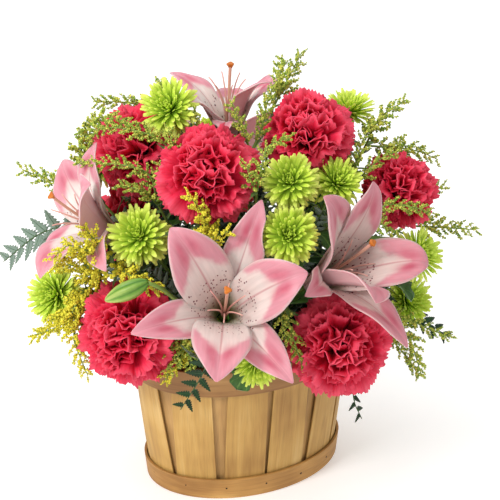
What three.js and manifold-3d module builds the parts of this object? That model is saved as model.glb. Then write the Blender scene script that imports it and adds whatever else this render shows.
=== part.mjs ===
// A bouquet of lilies, carnations and green chrysanthemums, filled out with
// goldenrod and leatherleaf fern, in an oval splint-wood basket.
// Millimetres, +Z up. The origin is the centre of the basket's underside and
// +X runs along the long axis of the oval.
import * as THREE from 'three';
import Module from 'manifold-3d';

const wasm = await Module();
wasm.setup();

// ---------------------------------------------------------------- dimensions
const GAP = 0.35;                     // clearance between neighbouring pieces

// Basket: half axes of the outer slat faces, and heights
const SLAT_FOOT = [75.6, 55.6];
const SLAT_HEAD = [88.5, 65.5];
const SLAT_TOP = 112;
const SLAT_COUNT = 12;
const SLAT_WIDTH = 30;
const SLAT_THICK = 1.6;
const HOOP_THICK = 2;
const HOOP_GAP = 0.9;                 // the hoops' inner faces to the slats
const BASE_HOOP_HIGH = 17;
const RIM_HOOP_HIGH = 21;
const RIM_TOP = 113;
const BOARD = [72, 52, 8];            // half length, half width, thickness
const LINER_WALL = 1.2;
const LINER_TOP = 91;
const FOAM = [66, 46];                // half axes of the soaked foam block
const FOAM_TOP = 126;

// All stems aim at this point inside the foam and stop short of it
const HEART = new THREE.Vector3(0, 0, 85);
const STEM_STOP = 36;
const CARNATION_STEM = 1.9;
const LILY_STEM = 2.6;
const MUM_STEM = 1.6;
const SPRAY_STEM = 1.1;

// Carnations: centre of the bloom, radius, and the way it faces as
// heading (degrees from +X) and rise (degrees above level)
const CARNATIONS = [
  { at: [-44, -27, 258], radius: 35.5, heading: -123, rise: 34 },
  { at: [42, -24, 273], radius: 33, heading: -111, rise: 52 },
  { at: [108, -51, 222], radius: 32, heading: -72, rise: 29 },
  { at: [-111, -19, 146], radius: 37.5, heading: -142, rise: 18 },
  { at: [26, -100, 136], radius: 37, heading: -108, rise: 22 },
  { at: [-56, 58, 249], radius: 34, heading: -163, rise: 43 },
  { at: [84, 40, 232], radius: 33, heading: 35, rise: 45 },
  { at: [-40, 100, 168], radius: 35, heading: 112, rise: 20 },
];

// Green chrysanthemums, in the same terms
const MUMS = [
  { at: [-47, 22, 292], radius: 22.4, heading: -140, rise: 44 },
  { at: [-91, -11, 214], radius: 23.6, heading: -131, rise: 39 },
  { at: [-131, 50, 151], radius: 22.3, heading: -154, rise: 27 },
  { at: [5, -60, 254], radius: 21.3, heading: -128, rise: 42 },
  { at: [43, -62, 246], radius: 19.4, heading: -97, rise: 50 },
  { at: [-9, -82, 224], radius: 22.5, heading: -120, rise: 31 },
  { at: [92, -1, 275], radius: 19.4, heading: -52, rise: 78 },
  { at: [95, -92, 189], radius: 20.5, heading: -59, rise: 31 },
  { at: [107, -64, 137], radius: 20.4, heading: -79, rise: 23 },
  { at: [-34, -82, 130], radius: 19.4, heading: -114, rise: -9 },
  { at: [100, 62, 168], radius: 22, heading: 30, rise: 25 },
  { at: [24, 92, 232], radius: 21, heading: 80, rise: 45 },
  { at: [-64, 106, 217], radius: 20, heading: 120, rise: 35 },
];

// Lilies: the throat, the way the flower faces, and six petals as
// [turn about the axis, opening angle, length]; the first three are the
// broad inner ones
const evenPetals = (turn, open, long) => [0, 120, 240, 60, 180, 300]
  .map((step, k) => [turn + step, open + (k < 3 ? -6 : 9), long]);
const LILIES = [
  {
    at: [-51, -63, 164], heading: -116, rise: 38, pistil: 60,
    petals: [[127, 44, 90], [260, 41, 91], [14, 38, 92], [69, 56, 92], [306, 54, 90], [198, 51, 90]],
  },
  {
    at: [19, -82, 184], heading: -67, rise: 38, pistil: 58,
    petals: [[114, 41, 83], [315, 28, 83], [224, 35, 79], [61, 34, 85], [267, 58, 84], [184, 60, 62]],
  },
  {
    at: [-100, 29, 205], heading: -175, rise: 37, pistil: 56,
    petals: [[38, 36, 74], [154, 71, 70], [285, 51, 67], [101, 53, 68], [219, 78, 56], [338, 66, 62]],
  },
  {
    at: [10, 37, 260], heading: 207, rise: 87, pistil: 50,
    petals: [[240, 54, 56], [0, 39, 62], [120, 76, 54], [180, 54, 64], [300, 66, 54], [60, 52, 54]],
  },
  { at: [38, 92, 178], heading: 68, rise: 25, pistil: 58, petals: evenPetals(30, 52, 86) },
];
// The unopened lily bud on the first lily's stalk: stalk points, then the tip
const BUD_STALK = [[-39, -39, 143], [-70, -48, 165], [-96, -56, 192], [-107, -53, 199]];
const BUD_TIP = [-132, -37, 184];

// Goldenrod: each spray is a trunk from the foam, forking into arms
const SPRAYS = [
  {
    trunk: [[-99, 18, 184]],
    arms: [
      [[-99, 18, 184], [-122, 15, 198], [-146, 27, 191]],
      [[-99, 18, 184], [-120, 21, 163], [-139, 23, 141], [-157, 33, 132]],
    ],
  },
  {
    trunk: [[-5, 85, 255]],
    arms: [
      [[-5, 85, 255], [-42, 96, 271], [-65, 109, 272]],
      [[-5, 85, 255], [-4, 112, 268], [2, 132, 268]],
    ],
  },
  {
    trunk: [[-79, 92, 209]],
    arms: [
      [[-79, 92, 209], [-102, 107, 215], [-122, 122, 224]],
      [[-79, 92, 209], [-89, 86, 246], [-90, 52, 283], [-77, 19, 287]],
    ],
  },
  {
    trunk: [[52, 44, 266]],
    arms: [
      [[52, 44, 266], [64, 44, 285], [76, 43, 306]],
      [[52, 44, 266], [70, 64, 280], [80, 78, 290]],
    ],
  },
  {
    trunk: [[97, -17, 248]],
    arms: [
      [[97, -17, 248], [98, -33, 275], [111, -46, 291]],
      [[97, -17, 248], [136, -21, 238], [151, -32, 232]],
    ],
  },
  {
    trunk: [[122, -36, 184]],
    arms: [
      [[122, -36, 184], [146, -54, 184], [165, -67, 183]],
      [[122, -36, 184], [140, -30, 200], [160, -30, 206]],
    ],
  },
  { trunk: [[80, -84, 142]], arms: [[[80, -84, 142], [82, -106, 126], [87, -114, 102]]] },
  {
    trunk: [[-22, -21, 145], [-44, -42, 205]],
    arms: [
      [[-22, -21, 145], [-59, -42, 140], [-77, -52, 133], [-94, -52, 117]],
      [[-44, -42, 205], [-64, -53, 245], [-74, -54, 258]],
    ],
  },
  {
    trunk: [[98, 70, 205]],
    arms: [
      [[98, 70, 205], [114, 92, 222], [122, 106, 236]],
      [[98, 70, 205], [124, 76, 206], [146, 80, 204]],
    ],
  },
];

// Fern fronds: spine points from the foam outwards, half width, and the
// direction its upper face looks
const FERNS = [
  { spine: [[-92, 88, 172], [-114, 103, 178], [-142, 121, 152]], half: 20, up: [-0.3, -0.3, 0.9] },
  { spine: [[-65, -76, 145], [-78, -75, 124], [-91, -70, 101]], half: 14, up: [-0.5, -0.8, 0.4] },
  { spine: [[58, -52, 121], [62, -66, 106], [46, -86, 82], [50, -92, 64]], half: 12, up: [0.3, -0.9, 0.3] },
  { spine: [[100, -34, 125], [124, -60, 114], [142, -73, 99]], half: 16, up: [0.2, -0.5, 0.8] },
  { spine: [[-4, 84, 128], [-2, 110, 128], [4, 138, 112]], half: 20, up: [0, 0.4, 0.9] },
];

// -------------------------------------------------------------- small maths
const V = (x, y, z) => new THREE.Vector3(x, y, z);
const vec = (a) => new THREE.Vector3(...a);
const rad = THREE.MathUtils.degToRad;
const facing = (heading, rise) => V(
  Math.cos(rad(heading)) * Math.cos(rad(rise)),
  Math.sin(rad(heading)) * Math.cos(rad(rise)),
  Math.sin(rad(rise)),
);
const along = (p, d, t) => p.clone().addScaledVector(d, t);

// Axes across a flower that faces along `axis`: one level, one upward
function crossAxes(axis, heading) {
  const side = V(-Math.sin(rad(heading)), Math.cos(rad(heading)), 0);
  return [side, axis.clone().cross(side)];
}

// A repeatable source of small irregularities
let seed = 20;
function random() {
  seed = (seed * 1664525 + 1013904223) % 4294967296;
  return seed / 4294967296;
}
const jitter = (size) => (random() * 2 - 1) * size;

// ------------------------------------------------------------- solid makers
function solid(points, faces) {
  const mesh = new wasm.Mesh({
    numProp: 3,
    vertProperties: new Float32Array(points.flatMap((p) => [p.x, p.y, p.z])),
    triVerts: new Uint32Array(faces.flat()),
  });
  return new wasm.Manifold(mesh);
}

const isEmpty = (body) => body.getMesh().triVerts.length === 0;
const fuse = (bodies) => bodies.reduce((sum, next) => sum.add(next));

function boxOf(body) {
  const data = body.getMesh().vertProperties;
  const box = new THREE.Box3();
  for (let i = 0; i < data.length; i += 3) {
    box.expandByPoint(V(data[i], data[i + 1], data[i + 2]));
  }
  return box;
}

// Rings of equal length, each one star-shaped about its own middle, closed
// at both ends
function loft(rings) {
  const n = rings[0].length;
  const points = rings.flat();
  const faces = [];
  for (let k = 0; k + 1 < rings.length; k += 1) {
    for (let i = 0; i < n; i += 1) {
      const a = k * n + i;
      const b = k * n + (i + 1) % n;
      faces.push([a, b, b + n], [a, b + n, a + n]);
    }
  }
  if (n < 9) {
    const top = (rings.length - 1) * n;
    for (let i = 1; i + 1 < n; i += 1) faces.push([0, i + 1, i], [top, top + i, top + i + 1]);
    return solid(points, faces);
  }
  const middle = (ring) => ring.reduce((s, p) => s.add(p), V(0, 0, 0)).divideScalar(n);
  const low = points.push(middle(rings[0])) - 1;
  const high = points.push(middle(rings[rings.length - 1])) - 1;
  const last = (rings.length - 1) * n;
  for (let i = 0; i < n; i += 1) {
    faces.push([low, (i + 1) % n, i], [high, last + i, last + (i + 1) % n]);
  }
  return solid(points, faces);
}

// A tube of few sides through the given points
const SIDEWAYS = V(0.9, 0.33, 0.2).normalize();
function tube(points, radii, sides) {
  const rings = points.map((p, i) => {
    const before = points[Math.max(i - 1, 0)];
    const after = points[Math.min(i + 1, points.length - 1)];
    const t = after.clone().sub(before).normalize();
    if (i > 0 && i + 1 < points.length) {
      t.copy(p.clone().sub(before).normalize());
      t.add(after.clone().sub(p).normalize()).normalize();
    }
    const u = along(SIDEWAYS, t, -SIDEWAYS.dot(t)).normalize();
    const v = t.clone().cross(u);
    return Array.from({ length: sides }, (_, k) => {
      const turn = (k / sides) * Math.PI * 2;
      return along(along(p, u, Math.cos(turn) * radii[i]), v, Math.sin(turn) * radii[i]);
    });
  });
  return loft(rings);
}

// A thin curved blade: rows of three points across, thickened along each
// row's normal, both faces split into the same triangles
function blade(rows, normals, thick) {
  const points = [];
  rows.forEach((row, i) => {
    row.forEach((p) => points.push(along(p, normals[i], thick / 2)));
    row.forEach((p) => points.push(along(p, normals[i], -thick / 2)));
  });
  const faces = [];
  const quad = (a, b, c, d) => faces.push([a, b, c], [a, c, d]);
  const last = rows.length - 1;
  for (let i = 0; i < last; i += 1) {
    const a = i * 6;
    const b = a + 6;
    for (let j = 0; j < 2; j += 1) {
      quad(a + j, b + j, b + j + 1, a + j + 1);
      faces.push([a + 3 + j, b + 4 + j, b + 3 + j], [a + 3 + j, a + 4 + j, b + 4 + j]);
    }
    quad(a, a + 3, b + 3, b);
    quad(a + 2, b + 2, b + 5, a + 5);
  }
  for (let j = 0; j < 2; j += 1) {
    quad(j, j + 1, j + 4, j + 3);
    quad(last * 6 + j, last * 6 + j + 3, last * 6 + j + 4, last * 6 + j + 1);
  }
  return solid(points, faces);
}

// A thin plate with a bent outline, both faces split into the same triangles
function plate(outline, face, half, triangles) {
  const n = outline.length;
  const points = [-half, half].flatMap((level) => outline.map((p) => along(p, face, level)));
  const faces = triangles.flatMap(([a, b, c]) => [[a, c, b], [a + n, b + n, c + n]]);
  for (let i = 0; i < n; i += 1) {
    const j = (i + 1) % n;
    faces.push([i, j, j + n], [i, j + n, i + n]);
  }
  return solid(points, faces);
}

// A three-sided spindle, pointed at both ends
function spindle(from, to, share, radius) {
  const t = to.clone().sub(from).normalize();
  const u = along(SIDEWAYS, t, -SIDEWAYS.dot(t)).normalize();
  const v = t.clone().cross(u);
  const waist = from.clone().lerp(to, share);
  const ring = [0, 1, 2].map((k) => {
    const turn = (k / 3) * Math.PI * 2;
    return along(along(waist, u, Math.cos(turn) * radius), v, Math.sin(turn) * radius);
  });
  return solid([from, ...ring, to], [
    [0, 2, 1], [0, 3, 2], [0, 1, 3], [4, 1, 2], [4, 2, 3], [4, 3, 1],
  ]);
}

// A ball-like core with twenty faces
function core(centre, radius) {
  const shape = new THREE.IcosahedronGeometry(radius, 0);
  const data = shape.attributes.position;
  const points = [];
  const faces = [];
  for (let i = 0; i < data.count; i += 1) {
    const p = new THREE.Vector3().fromBufferAttribute(data, i).add(centre);
    let at = points.findIndex((q) => q.distanceTo(p) < 1e-3);
    if (at < 0) at = points.push(p) - 1;
    faces.push(at);
  }
  const triangles = [];
  for (let i = 0; i < faces.length; i += 3) triangles.push(faces.slice(i, i + 3));
  return solid(points, triangles);
}

// ------------------------------------------------- placing without crossing
const placed = [];
function place(name, body) {
  const old = placed.find((item) => item.name === name);
  if (old) placed.splice(placed.indexOf(old), 1);
  placed.push({ name, body, box: boxOf(body) });
}

// True where a body stays out of every piece placed so far, other than
// those of its own flower
function isClear(body, own) {
  const box = boxOf(body);
  return placed.every((item) => own.includes(item.name)
    || !item.box.intersectsBox(box)
    || isEmpty(item.body.intersect(body)));
}

// A small repeat is tried at full size, then smaller, then left out
function tryParts(make, own, sizes = [1, 0.82, 0.64]) {
  for (const size of sizes) {
    if (isClear(make(size, GAP), own)) return make(size, 0);
  }
  return null;
}

// Each finished piece belongs to a home: the place its flower or frond grows
// from and the way it faces, or the basket's own origin
const nodes = [];
const BASKET_HOME = { at: V(0, 0, 0), axis: V(0, 0, 1) };
function finish(name, body, colour, roughness, home = BASKET_HOME) {
  place(name, body);
  nodes.push({ name, body, colour, roughness, home });
}

// ------------------------------------------------------------------- stems
const holes = [];
// The way from a flower's foot to the foam: back along the flower's axis,
// a bend, then straight at the heart of the foam
function stemPath(foot, axis, lead) {
  const knee = along(foot, axis, -lead);
  const aim = knee.clone().sub(HEART);
  const reach = aim.length();
  aim.normalize();
  const bend = along(HEART, aim, Math.max(reach - 14, 74));
  return [foot, knee, bend, along(HEART, aim, STEM_STOP)];
}
function drill(path, radius, sides) {
  const end = path[path.length - 1];
  const aim = path[path.length - 2].clone().sub(end).normalize();
  const wide = (radius + GAP) / Math.cos(Math.PI / sides);
  holes.push(tube([along(end, aim, -GAP), along(end, aim, 70)], [wide, wide], sides));
}

const pink = '#d92a52';
const lilyPink = '#f0b4bd';
const stalkGreen = '#5d7f35';

// Leaves stand out of the stems above the foam. Each is tried at several
// turns, and left out where a neighbour leaves it no room
function leaf(from, aim, face, long, half, grow) {
  const edge = face.clone().cross(aim).normalize();
  const outline = [[0, -1.1], [0.5, -half], [1, 0], [0.5, half], [0, 1.1]];
  const ring = (level) => outline.map(([s, w]) => {
    const sag = -0.5 * long * 0.2 * s * s;
    const p = along(along(from, aim, s * (long + grow * 2)), face, level + sag);
    return along(p, edge, w + Math.sign(w) * grow);
  });
  return loft([ring(-0.4 - grow), ring(0.4 + grow)]);
}
function leafy(bloom, own, spots, long, half) {
  const [foot, end] = bloom.straight;
  const t = foot.clone().sub(end).normalize();
  const u = along(SIDEWAYS, t, -SIDEWAYS.dot(t)).normalize();
  const v = t.clone().cross(u);
  spots.forEach((reach, i) => {
    const from = along(end, t, Math.min(reach, foot.distanceTo(end) - 4));
    const start = random() * 360;
    for (let k = 0; k < 6; k += 1) {
      const turn = rad(start + i * 150 + k * 60);
      const out = u.clone().multiplyScalar(Math.cos(turn)).addScaledVector(v, Math.sin(turn));
      const aim = out.clone().multiplyScalar(0.8).addScaledVector(t, 0.6).normalize();
      const face = t.clone().multiplyScalar(0.8).addScaledVector(out, -0.6).normalize();
      if (isClear(leaf(from, aim, face, long, half, GAP), own)) {
        bloom.stem = bloom.stem.add(leaf(from, aim, face, long, half, 0));
        place(own[0], bloom.stem);
        return;
      }
    }
  });
}

CARNATIONS.forEach((bloom, index) => {
  const name = `carnation_${index + 1}`;
  const axis = facing(bloom.heading, bloom.rise);
  const centre = vec(bloom.at);
  const foot = along(centre, axis, -bloom.radius * 0.98);
  const path = stemPath(foot, axis, 6);
  const r = CARNATION_STEM;
  const stalk = tube(path, [r, r, r, r], 5);
  const calyx = tube([
    along(foot, axis, -1.5),
    along(foot, axis, 3),
    along(centre, axis, -bloom.radius * 0.56),
  ], [2.6, 5.2, 6.4], 6);
  const home = { at: centre, axis };
  Object.assign(bloom, { name, axis, centre, home, stem: fuse([stalk, calyx]), straight: path.slice(2) });
  drill(path, r, 5);
  place(`${name}_stem`, bloom.stem);
  place(`${name}_heart`, core(centre, bloom.radius * 0.5));
});

MUMS.forEach((bloom, index) => {
  const name = `mum_${index + 1}`;
  const axis = facing(bloom.heading, bloom.rise);
  const centre = vec(bloom.at);
  const path = stemPath(along(centre, axis, -bloom.radius * 0.25), axis, 10);
  const r = MUM_STEM;
  const stem = tube(path, [r, r, r, r], 4);
  const home = { at: centre, axis };
  Object.assign(bloom, { name, axis, centre, home, stem, straight: path.slice(2) });
  drill(path, r, 4);
  place(name, bloom.stem);
  place(`${name}_heart`, core(centre, bloom.radius * 0.5));
});

LILIES.forEach((bloom, index) => {
  const name = `lily_${index + 1}`;
  const axis = facing(bloom.heading, bloom.rise);
  const throat = vec(bloom.at);
  const [side, up] = crossAxes(axis, bloom.heading);
  const foot = along(throat, axis, -17);
  const path = stemPath(foot, axis, 14);
  const r = LILY_STEM;
  const parts = [tube(path, [r, r, r, r], 6)];
  parts.push(tube([
    along(throat, axis, -18),
    along(throat, axis, -5),
    along(along(throat, axis, bloom.pistil - 3), up, 4),
    along(along(throat, axis, bloom.pistil), up, 5),
  ], [3, 3, 1.1, 2.6], 4));
  for (let k = 0; k < 6; k += 1) {
    const turn = rad(60 * k + 20);
    const out = side.clone().multiplyScalar(Math.cos(turn)).addScaledVector(up, Math.sin(turn));
    parts.push(tube([
      along(along(throat, axis, -8), out, 0.6),
      along(along(throat, axis, 40 + jitter(3)), out, 12.5),
    ], [0.85, 0.7], 3));
  }
  if (index === 0) {
    const stalk = BUD_STALK.map(vec);
    const tip = vec(BUD_TIP);
    const from = stalk[stalk.length - 1];
    const step = (t) => from.clone().lerp(tip, t);
    parts.push(tube(stalk, [1.4, 1.4, 1.4, 1.4], 4));
    parts.push(tube([step(-0.03), step(0.12), step(0.45), step(0.75), step(1)], [2, 4.8, 6.8, 5.6, 1.4], 6));
  }
  const straight = path.slice(2);
  const home = { at: throat, axis };
  Object.assign(bloom, { name, axis, throat, home, side, up, stem: fuse(parts), straight });
  drill(path, r, 6);
  place(`${name}_stem`, bloom.stem);
});

function rootOf(point) {
  const aim = point.clone().sub(HEART).normalize();
  return along(HEART, aim, STEM_STOP);
}
SPRAYS.forEach((spray, index) => {
  const name = `goldenrod_${index + 1}`;
  const trunk = [rootOf(vec(spray.trunk[0])), ...spray.trunk.map(vec)];
  const r = SPRAY_STEM;
  const parts = [tube(trunk, trunk.map(() => r), 4)];
  spray.arms.forEach((arm) => {
    const points = arm.map(vec);
    parts.push(tube(points, points.map((_, i) => 1 - 0.12 * i), 3));
  });
  const home = { at: trunk[0], axis: trunk[1].clone().sub(trunk[0]).normalize() };
  Object.assign(spray, { name, home, body: fuse(parts) });
  drill([trunk[1], trunk[0]], r, 4);
  place(name, spray.body);
});
FERNS.forEach((fern, index) => {
  const name = `fern_${index + 1}`;
  const spine = [rootOf(vec(fern.spine[0])), ...fern.spine.map(vec)];
  const r = SPRAY_STEM;
  const stalk = [spine[0], spine[1], spine[1].clone().lerp(spine[2], 0.12)];
  const home = { at: spine[0], axis: spine[1].clone().sub(spine[0]).normalize() };
  Object.assign(fern, { name, home, body: tube(stalk, [r, r, r * 0.8], 4) });
  drill([spine[1], spine[0]], r, 4);
  place(name, tube(spine, spine.map(() => r), 4));
});

// ----------------------------------------------------------------- basket
const slatAxes = (z) => [0, 1].map((k) => SLAT_FOOT[k]
  + (SLAT_HEAD[k] - SLAT_FOOT[k]) * (z / SLAT_TOP));
function oval(z, inset, sides = 26) {
  const [a, b] = slatAxes(z);
  return Array.from({ length: sides }, (_, k) => {
    const turn = (k / sides) * Math.PI * 2;
    return V(Math.cos(turn) * (a - inset), Math.sin(turn) * (b - inset), z);
  });
}
function band(low, high, outset, inset, sides = 26) {
  const outer = loft([oval(low, -outset, sides), oval(high, -outset, sides)]);
  const below = oval(low, inset, sides).map((p) => p.setZ(low - 1));
  const above = oval(high, inset, sides).map((p) => p.setZ(high + 1));
  return outer.subtract(loft([below, above]));
}

// Broad outer slats of even width stand over a closed inner layer, so the
// steps between them widen towards the rim
function slatRing(z) {
  const [a, b] = slatAxes(z);
  const steps = 720;
  const edge = Array.from({ length: steps + 1 }, (_, k) => {
    const turn = (k / steps) * Math.PI * 2;
    return V(Math.cos(turn) * a, Math.sin(turn) * b, z);
  });
  const runs = [0];
  for (let k = 1; k <= steps; k += 1) runs.push(runs[k - 1] + edge[k].distanceTo(edge[k - 1]));
  const round = runs[steps];
  const at = (length, inset) => {
    const run = ((length % round) + round) % round;
    const k = Math.min(runs.findIndex((r) => r > run), steps);
    const t = (run - runs[k - 1]) / (runs[k] - runs[k - 1]);
    const p = edge[k - 1].clone().lerp(edge[k], t);
    const turn = Math.atan2(p.y / b, p.x / a);
    return V(Math.cos(turn) * (a - inset), Math.sin(turn) * (b - inset), z);
  };
  const ring = [];
  for (let k = 0; k < SLAT_COUNT; k += 1) {
    const middle = (round / SLAT_COUNT) * (k + 0.15);
    const half = SLAT_WIDTH / 2;
    ring.push(at(middle - half, SLAT_THICK), at(middle - half, 0), at(middle, 0));
    ring.push(at(middle + half, 0), at(middle + half, SLAT_THICK));
  }
  return ring;
}
const wall = loft([slatRing(0), slatRing(SLAT_TOP)]).subtract(loft([
  oval(0, SLAT_THICK * 2).map((p) => p.setZ(-1)),
  oval(SLAT_TOP, SLAT_THICK * 2).map((p) => p.setZ(SLAT_TOP + 1)),
]));
finish('slat_wall', wall, '#c39a5c', 0.7);
const inside = SLAT_THICK * 2;
finish('base_hoop', band(0, BASE_HOOP_HIGH, HOOP_GAP + HOOP_THICK, -HOOP_GAP), '#bd9150', 0.65);
const rimLow = RIM_TOP - RIM_HOOP_HIGH;
finish('rim_hoop_outer', band(rimLow, RIM_TOP, HOOP_GAP + HOOP_THICK, -HOOP_GAP), '#8b5a33', 0.65);
finish('rim_hoop_inner', band(rimLow, RIM_TOP, -inside - GAP, inside + GAP + HOOP_THICK), '#8b5a33', 0.65);

const board = (z) => Array.from({ length: 28 }, (_, k) => {
  const turn = (k / 28) * Math.PI * 2;
  return V(Math.cos(turn) * BOARD[0], Math.sin(turn) * BOARD[1], z);
});
finish('bottom_board', loft([board(0), board(BOARD[2])]), '#b58a52', 0.75);

const linerFoot = BOARD[2] + GAP;
const skin = inside + GAP;
const liner = loft([oval(linerFoot, skin), oval(LINER_TOP, skin)]).subtract(loft([
  oval(linerFoot + LINER_WALL, skin + LINER_WALL),
  oval(LINER_TOP, skin + LINER_WALL).map((p) => p.setZ(LINER_TOP + 1)),
]));
finish('liner', liner, '#2f3a2c', 0.5);

const foamRing = (z) => Array.from({ length: 20 }, (_, k) => {
  const turn = (k / 20) * Math.PI * 2;
  return V(Math.cos(turn) * FOAM[0], Math.sin(turn) * FOAM[1], z);
});
const foamFoot = linerFoot + LINER_WALL + GAP;
const block = loft([foamRing(foamFoot), foamRing(FOAM_TOP)]);
finish('foam', block.subtract(fuse(holes)), '#3f5f35', 0.95);

// ------------------------------------------------------------ lily petals
// A petal leaves a narrow tube behind the throat, opens, and curls back at
// the tip; it leans away from any round bloom in its way
const heads = [...CARNATIONS, ...MUMS];
function leanAway(point) {
  for (let round = 0; round < 3; round += 1) {
    heads.forEach((head) => {
      const from = point.clone().sub(head.centre);
      const keep = head.radius * 0.84 + 3;
      if (from.length() < keep) point.copy(along(head.centre, from.normalize(), keep));
    });
  }
  return point;
}

LILIES.forEach((bloom) => {
  const { axis, throat, side, up } = bloom;
  const petals = bloom.petals.map(([turn, open, long], k) => {
    const broad = k < 3;
    const out = side.clone().multiplyScalar(Math.cos(rad(turn)))
      .addScaledVector(up, Math.sin(rad(turn)));
    const across = axis.clone().cross(out);
    const flat = (o, a) => along(along(throat, out, o), axis, a);
    const reach = Math.sin(rad(open)) * long;
    const rise = Math.cos(rad(open)) * long;
    const curve = new THREE.CubicBezierCurve3(
      flat(4.6, broad ? -13 : -15),
      flat(7, 12 + rise * 0.22),
      flat(reach * 0.62, rise * 0.9 + (broad ? 6 : 1)),
      flat(reach, rise - 2),
    );
    const size = Math.min(long / 86, 1);
    const halves = (broad ? [4.2, 13.2, 18.2, 1.3] : [3.8, 9, 12.4, 1.2])
      .map((half, i) => (i ? half * size : half));
    const stops = [0, 0.34, 0.66, 1];
    const rows = [];
    const normals = [];
    stops.forEach((s, i) => {
      const p = curve.getPoint(s);
      const t = curve.getTangent(s);
      const n = t.clone().cross(across).normalize();
      const trough = halves[i] * (i < 2 ? 0.1 : 0.24);
      const wave = i === 2 ? 1.8 : 0;
      const row = [-1, 0, 1].map((c) => {
        const lift = Math.abs(c) * trough + c * wave;
        return along(along(p, across, c * halves[i]), n, lift);
      });
      rows.push(i < 1 ? row : row.map(leanAway));
      normals.push(n);
    });
    return blade(rows, normals, 1.2);
  });
  const bore = tube([along(throat, axis, -30), along(throat, axis, 4)], [3.5, 3.5], 6);
  const body = fuse(petals).subtract(bore);
  finish(`${bloom.name}_petals`, body, lilyPink, 0.55, bloom.home);
});

// ----------------------------------------------------------------- leaves
MUMS.forEach((bloom) => leafy(bloom, [bloom.name, `${bloom.name}_heart`], [30], 46, 11));
LILIES.forEach((bloom) => {
  leafy(bloom, [`${bloom.name}_stem`, `${bloom.name}_petals`], [30, 50], 60, 7.5);
});
CARNATIONS.forEach((bloom) => {
  leafy(bloom, [`${bloom.name}_stem`, `${bloom.name}_heart`], [34], 46, 4);
});

// ------------------------------------------------------- carnation petals
// Whorls of fan-shaped petals with toothed, waved edges around a small core
CARNATIONS.forEach((bloom) => {
  const { axis, centre, radius, heading, name } = bloom;
  const [side, up] = crossAxes(axis, heading);
  const own = [`${name}_stem`, `${name}_petals`, `${name}_heart`];
  const parts = [core(along(centre, axis, -radius * 0.06), radius * 0.43)];
  const whorls = [[5, 98, 0.97], [4, 64, 1], [3, 30, 1.02]];
  whorls.forEach(([count, polar, reach], ring) => {
    for (let k = 0; k < count; k += 1) {
      const turn = rad((k + 0.5 * (ring % 2)) * (360 / count)) + jitter(0.08);
      const lean = rad(polar + jitter(5));
      const out = side.clone().multiplyScalar(Math.cos(turn)).addScaledVector(up, Math.sin(turn));
      const across = axis.clone().cross(out);
      const aim = out.clone().multiplyScalar(Math.sin(lean)).addScaledVector(axis, Math.cos(lean));
      const face = aim.clone().cross(across).normalize();
      const wide = radius * [0.54, 0.58, 0.46][ring];
      const wave = [-1, 1, -1].map((sign) => sign * (1.8 + jitter(0.9)));
      const make = (size, grow) => {
        const far = radius * reach * size + grow;
        const edge = [-1, 0, 1].map((c, i) => {
          const tooth = (0.03 - Math.abs(c) * 0.14) * radius;
          const p = along(along(centre, aim, far + tooth), across, c * (wide * size + grow));
          return along(p, face, wave[i]);
        });
        const pair = (far2, half) => [-1, 1].map((c) => along(along(centre, aim, far2), across, c * half));
        const root = pair(radius * 0.16, 2.2);
        const neck = pair(radius * 0.52, radius * (ring === 2 ? 0.18 : 0.25) * size + grow);
        const outline = [root[0], neck[0], ...edge, neck[1], root[1]];
        const fan = [[0, 1, 5], [0, 5, 6], [1, 2, 3], [1, 3, 5], [5, 3, 4]];
        return plate(outline, face, 0.55 + grow, fan);
      };
      const part = tryParts(make, own);
      if (part) parts.push(part);
    }
  });
  const neck = tube([
    along(centre, axis, -radius * 0.56 + GAP),
    along(centre, axis, -radius * 0.3),
  ], [5.5, 7], 6);
  finish(`${name}_petals`, fuse([neck, ...parts]), pink, 0.8, bloom.home);
  finish(`${name}_stem`, bloom.stem, stalkGreen, 0.6, bloom.home);
});
LILIES.forEach((bloom) => finish(`${bloom.name}_stem`, bloom.stem, stalkGreen, 0.5, bloom.home));

// ---------------------------------------------------- chrysanthemum heads
// Narrow blunt petals stand out of the faces of a small round core; a face
// whose petal would touch a neighbour stays bare
function starHead(bloom) {
  const { axis, centre, radius, name } = bloom;
  const shape = new THREE.IcosahedronGeometry(radius * 0.46, 1);
  const data = shape.attributes.position;
  const points = [];
  const corner = (i) => {
    const p = new THREE.Vector3().fromBufferAttribute(data, i).add(centre);
    const at = points.findIndex((q) => q.distanceTo(p) < 1e-3);
    return at < 0 ? points.push(p) - 1 : at;
  };
  const plain = [];
  for (let i = 0; i < data.count; i += 3) plain.push([corner(i), corner(i + 1), corner(i + 2)]);
  const faces = [];
  plain.forEach((face) => {
    const middle = face.reduce((sum, i) => sum.add(points[i]), V(0, 0, 0)).divideScalar(3);
    const aim = middle.clone().sub(centre).normalize();
    const wanted = aim.dot(axis) > -0.4 && random() < 0.34;
    const reach = radius * (0.94 + 0.08 * random());
    const tips = (size, grow) => face.map((i) => {
      const spread = points[i].clone().sub(middle).multiplyScalar(0.5 + grow * 0.4);
      return along(centre, aim, reach * size + grow).add(spread);
    });
    const spike = (size, grow) => loft([
      face.map((i) => points[i].clone().sub(centre).multiplyScalar(0.96 + grow * 0.2).add(centre)),
      tips(size, grow),
    ]);
    const size = wanted ? [1, 0.84, 0.68].find((one) => isClear(spike(one, GAP), [name, `${name}_heart`])) : 0;
    if (!size) {
      faces.push(face);
      return;
    }
    const top = tips(size, 0).map((p) => points.push(p) - 1);
    faces.push(top);
    for (let k = 0; k < 3; k += 1) {
      const next = (k + 1) % 3;
      faces.push([face[k], face[next], top[next]], [face[k], top[next], top[k]]);
    }
  });
  return solid(points, faces);
}
MUMS.forEach((bloom) => {
  finish(bloom.name, bloom.stem.add(starHead(bloom)), '#9cc43c', 0.75, bloom.home);
});

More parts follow.
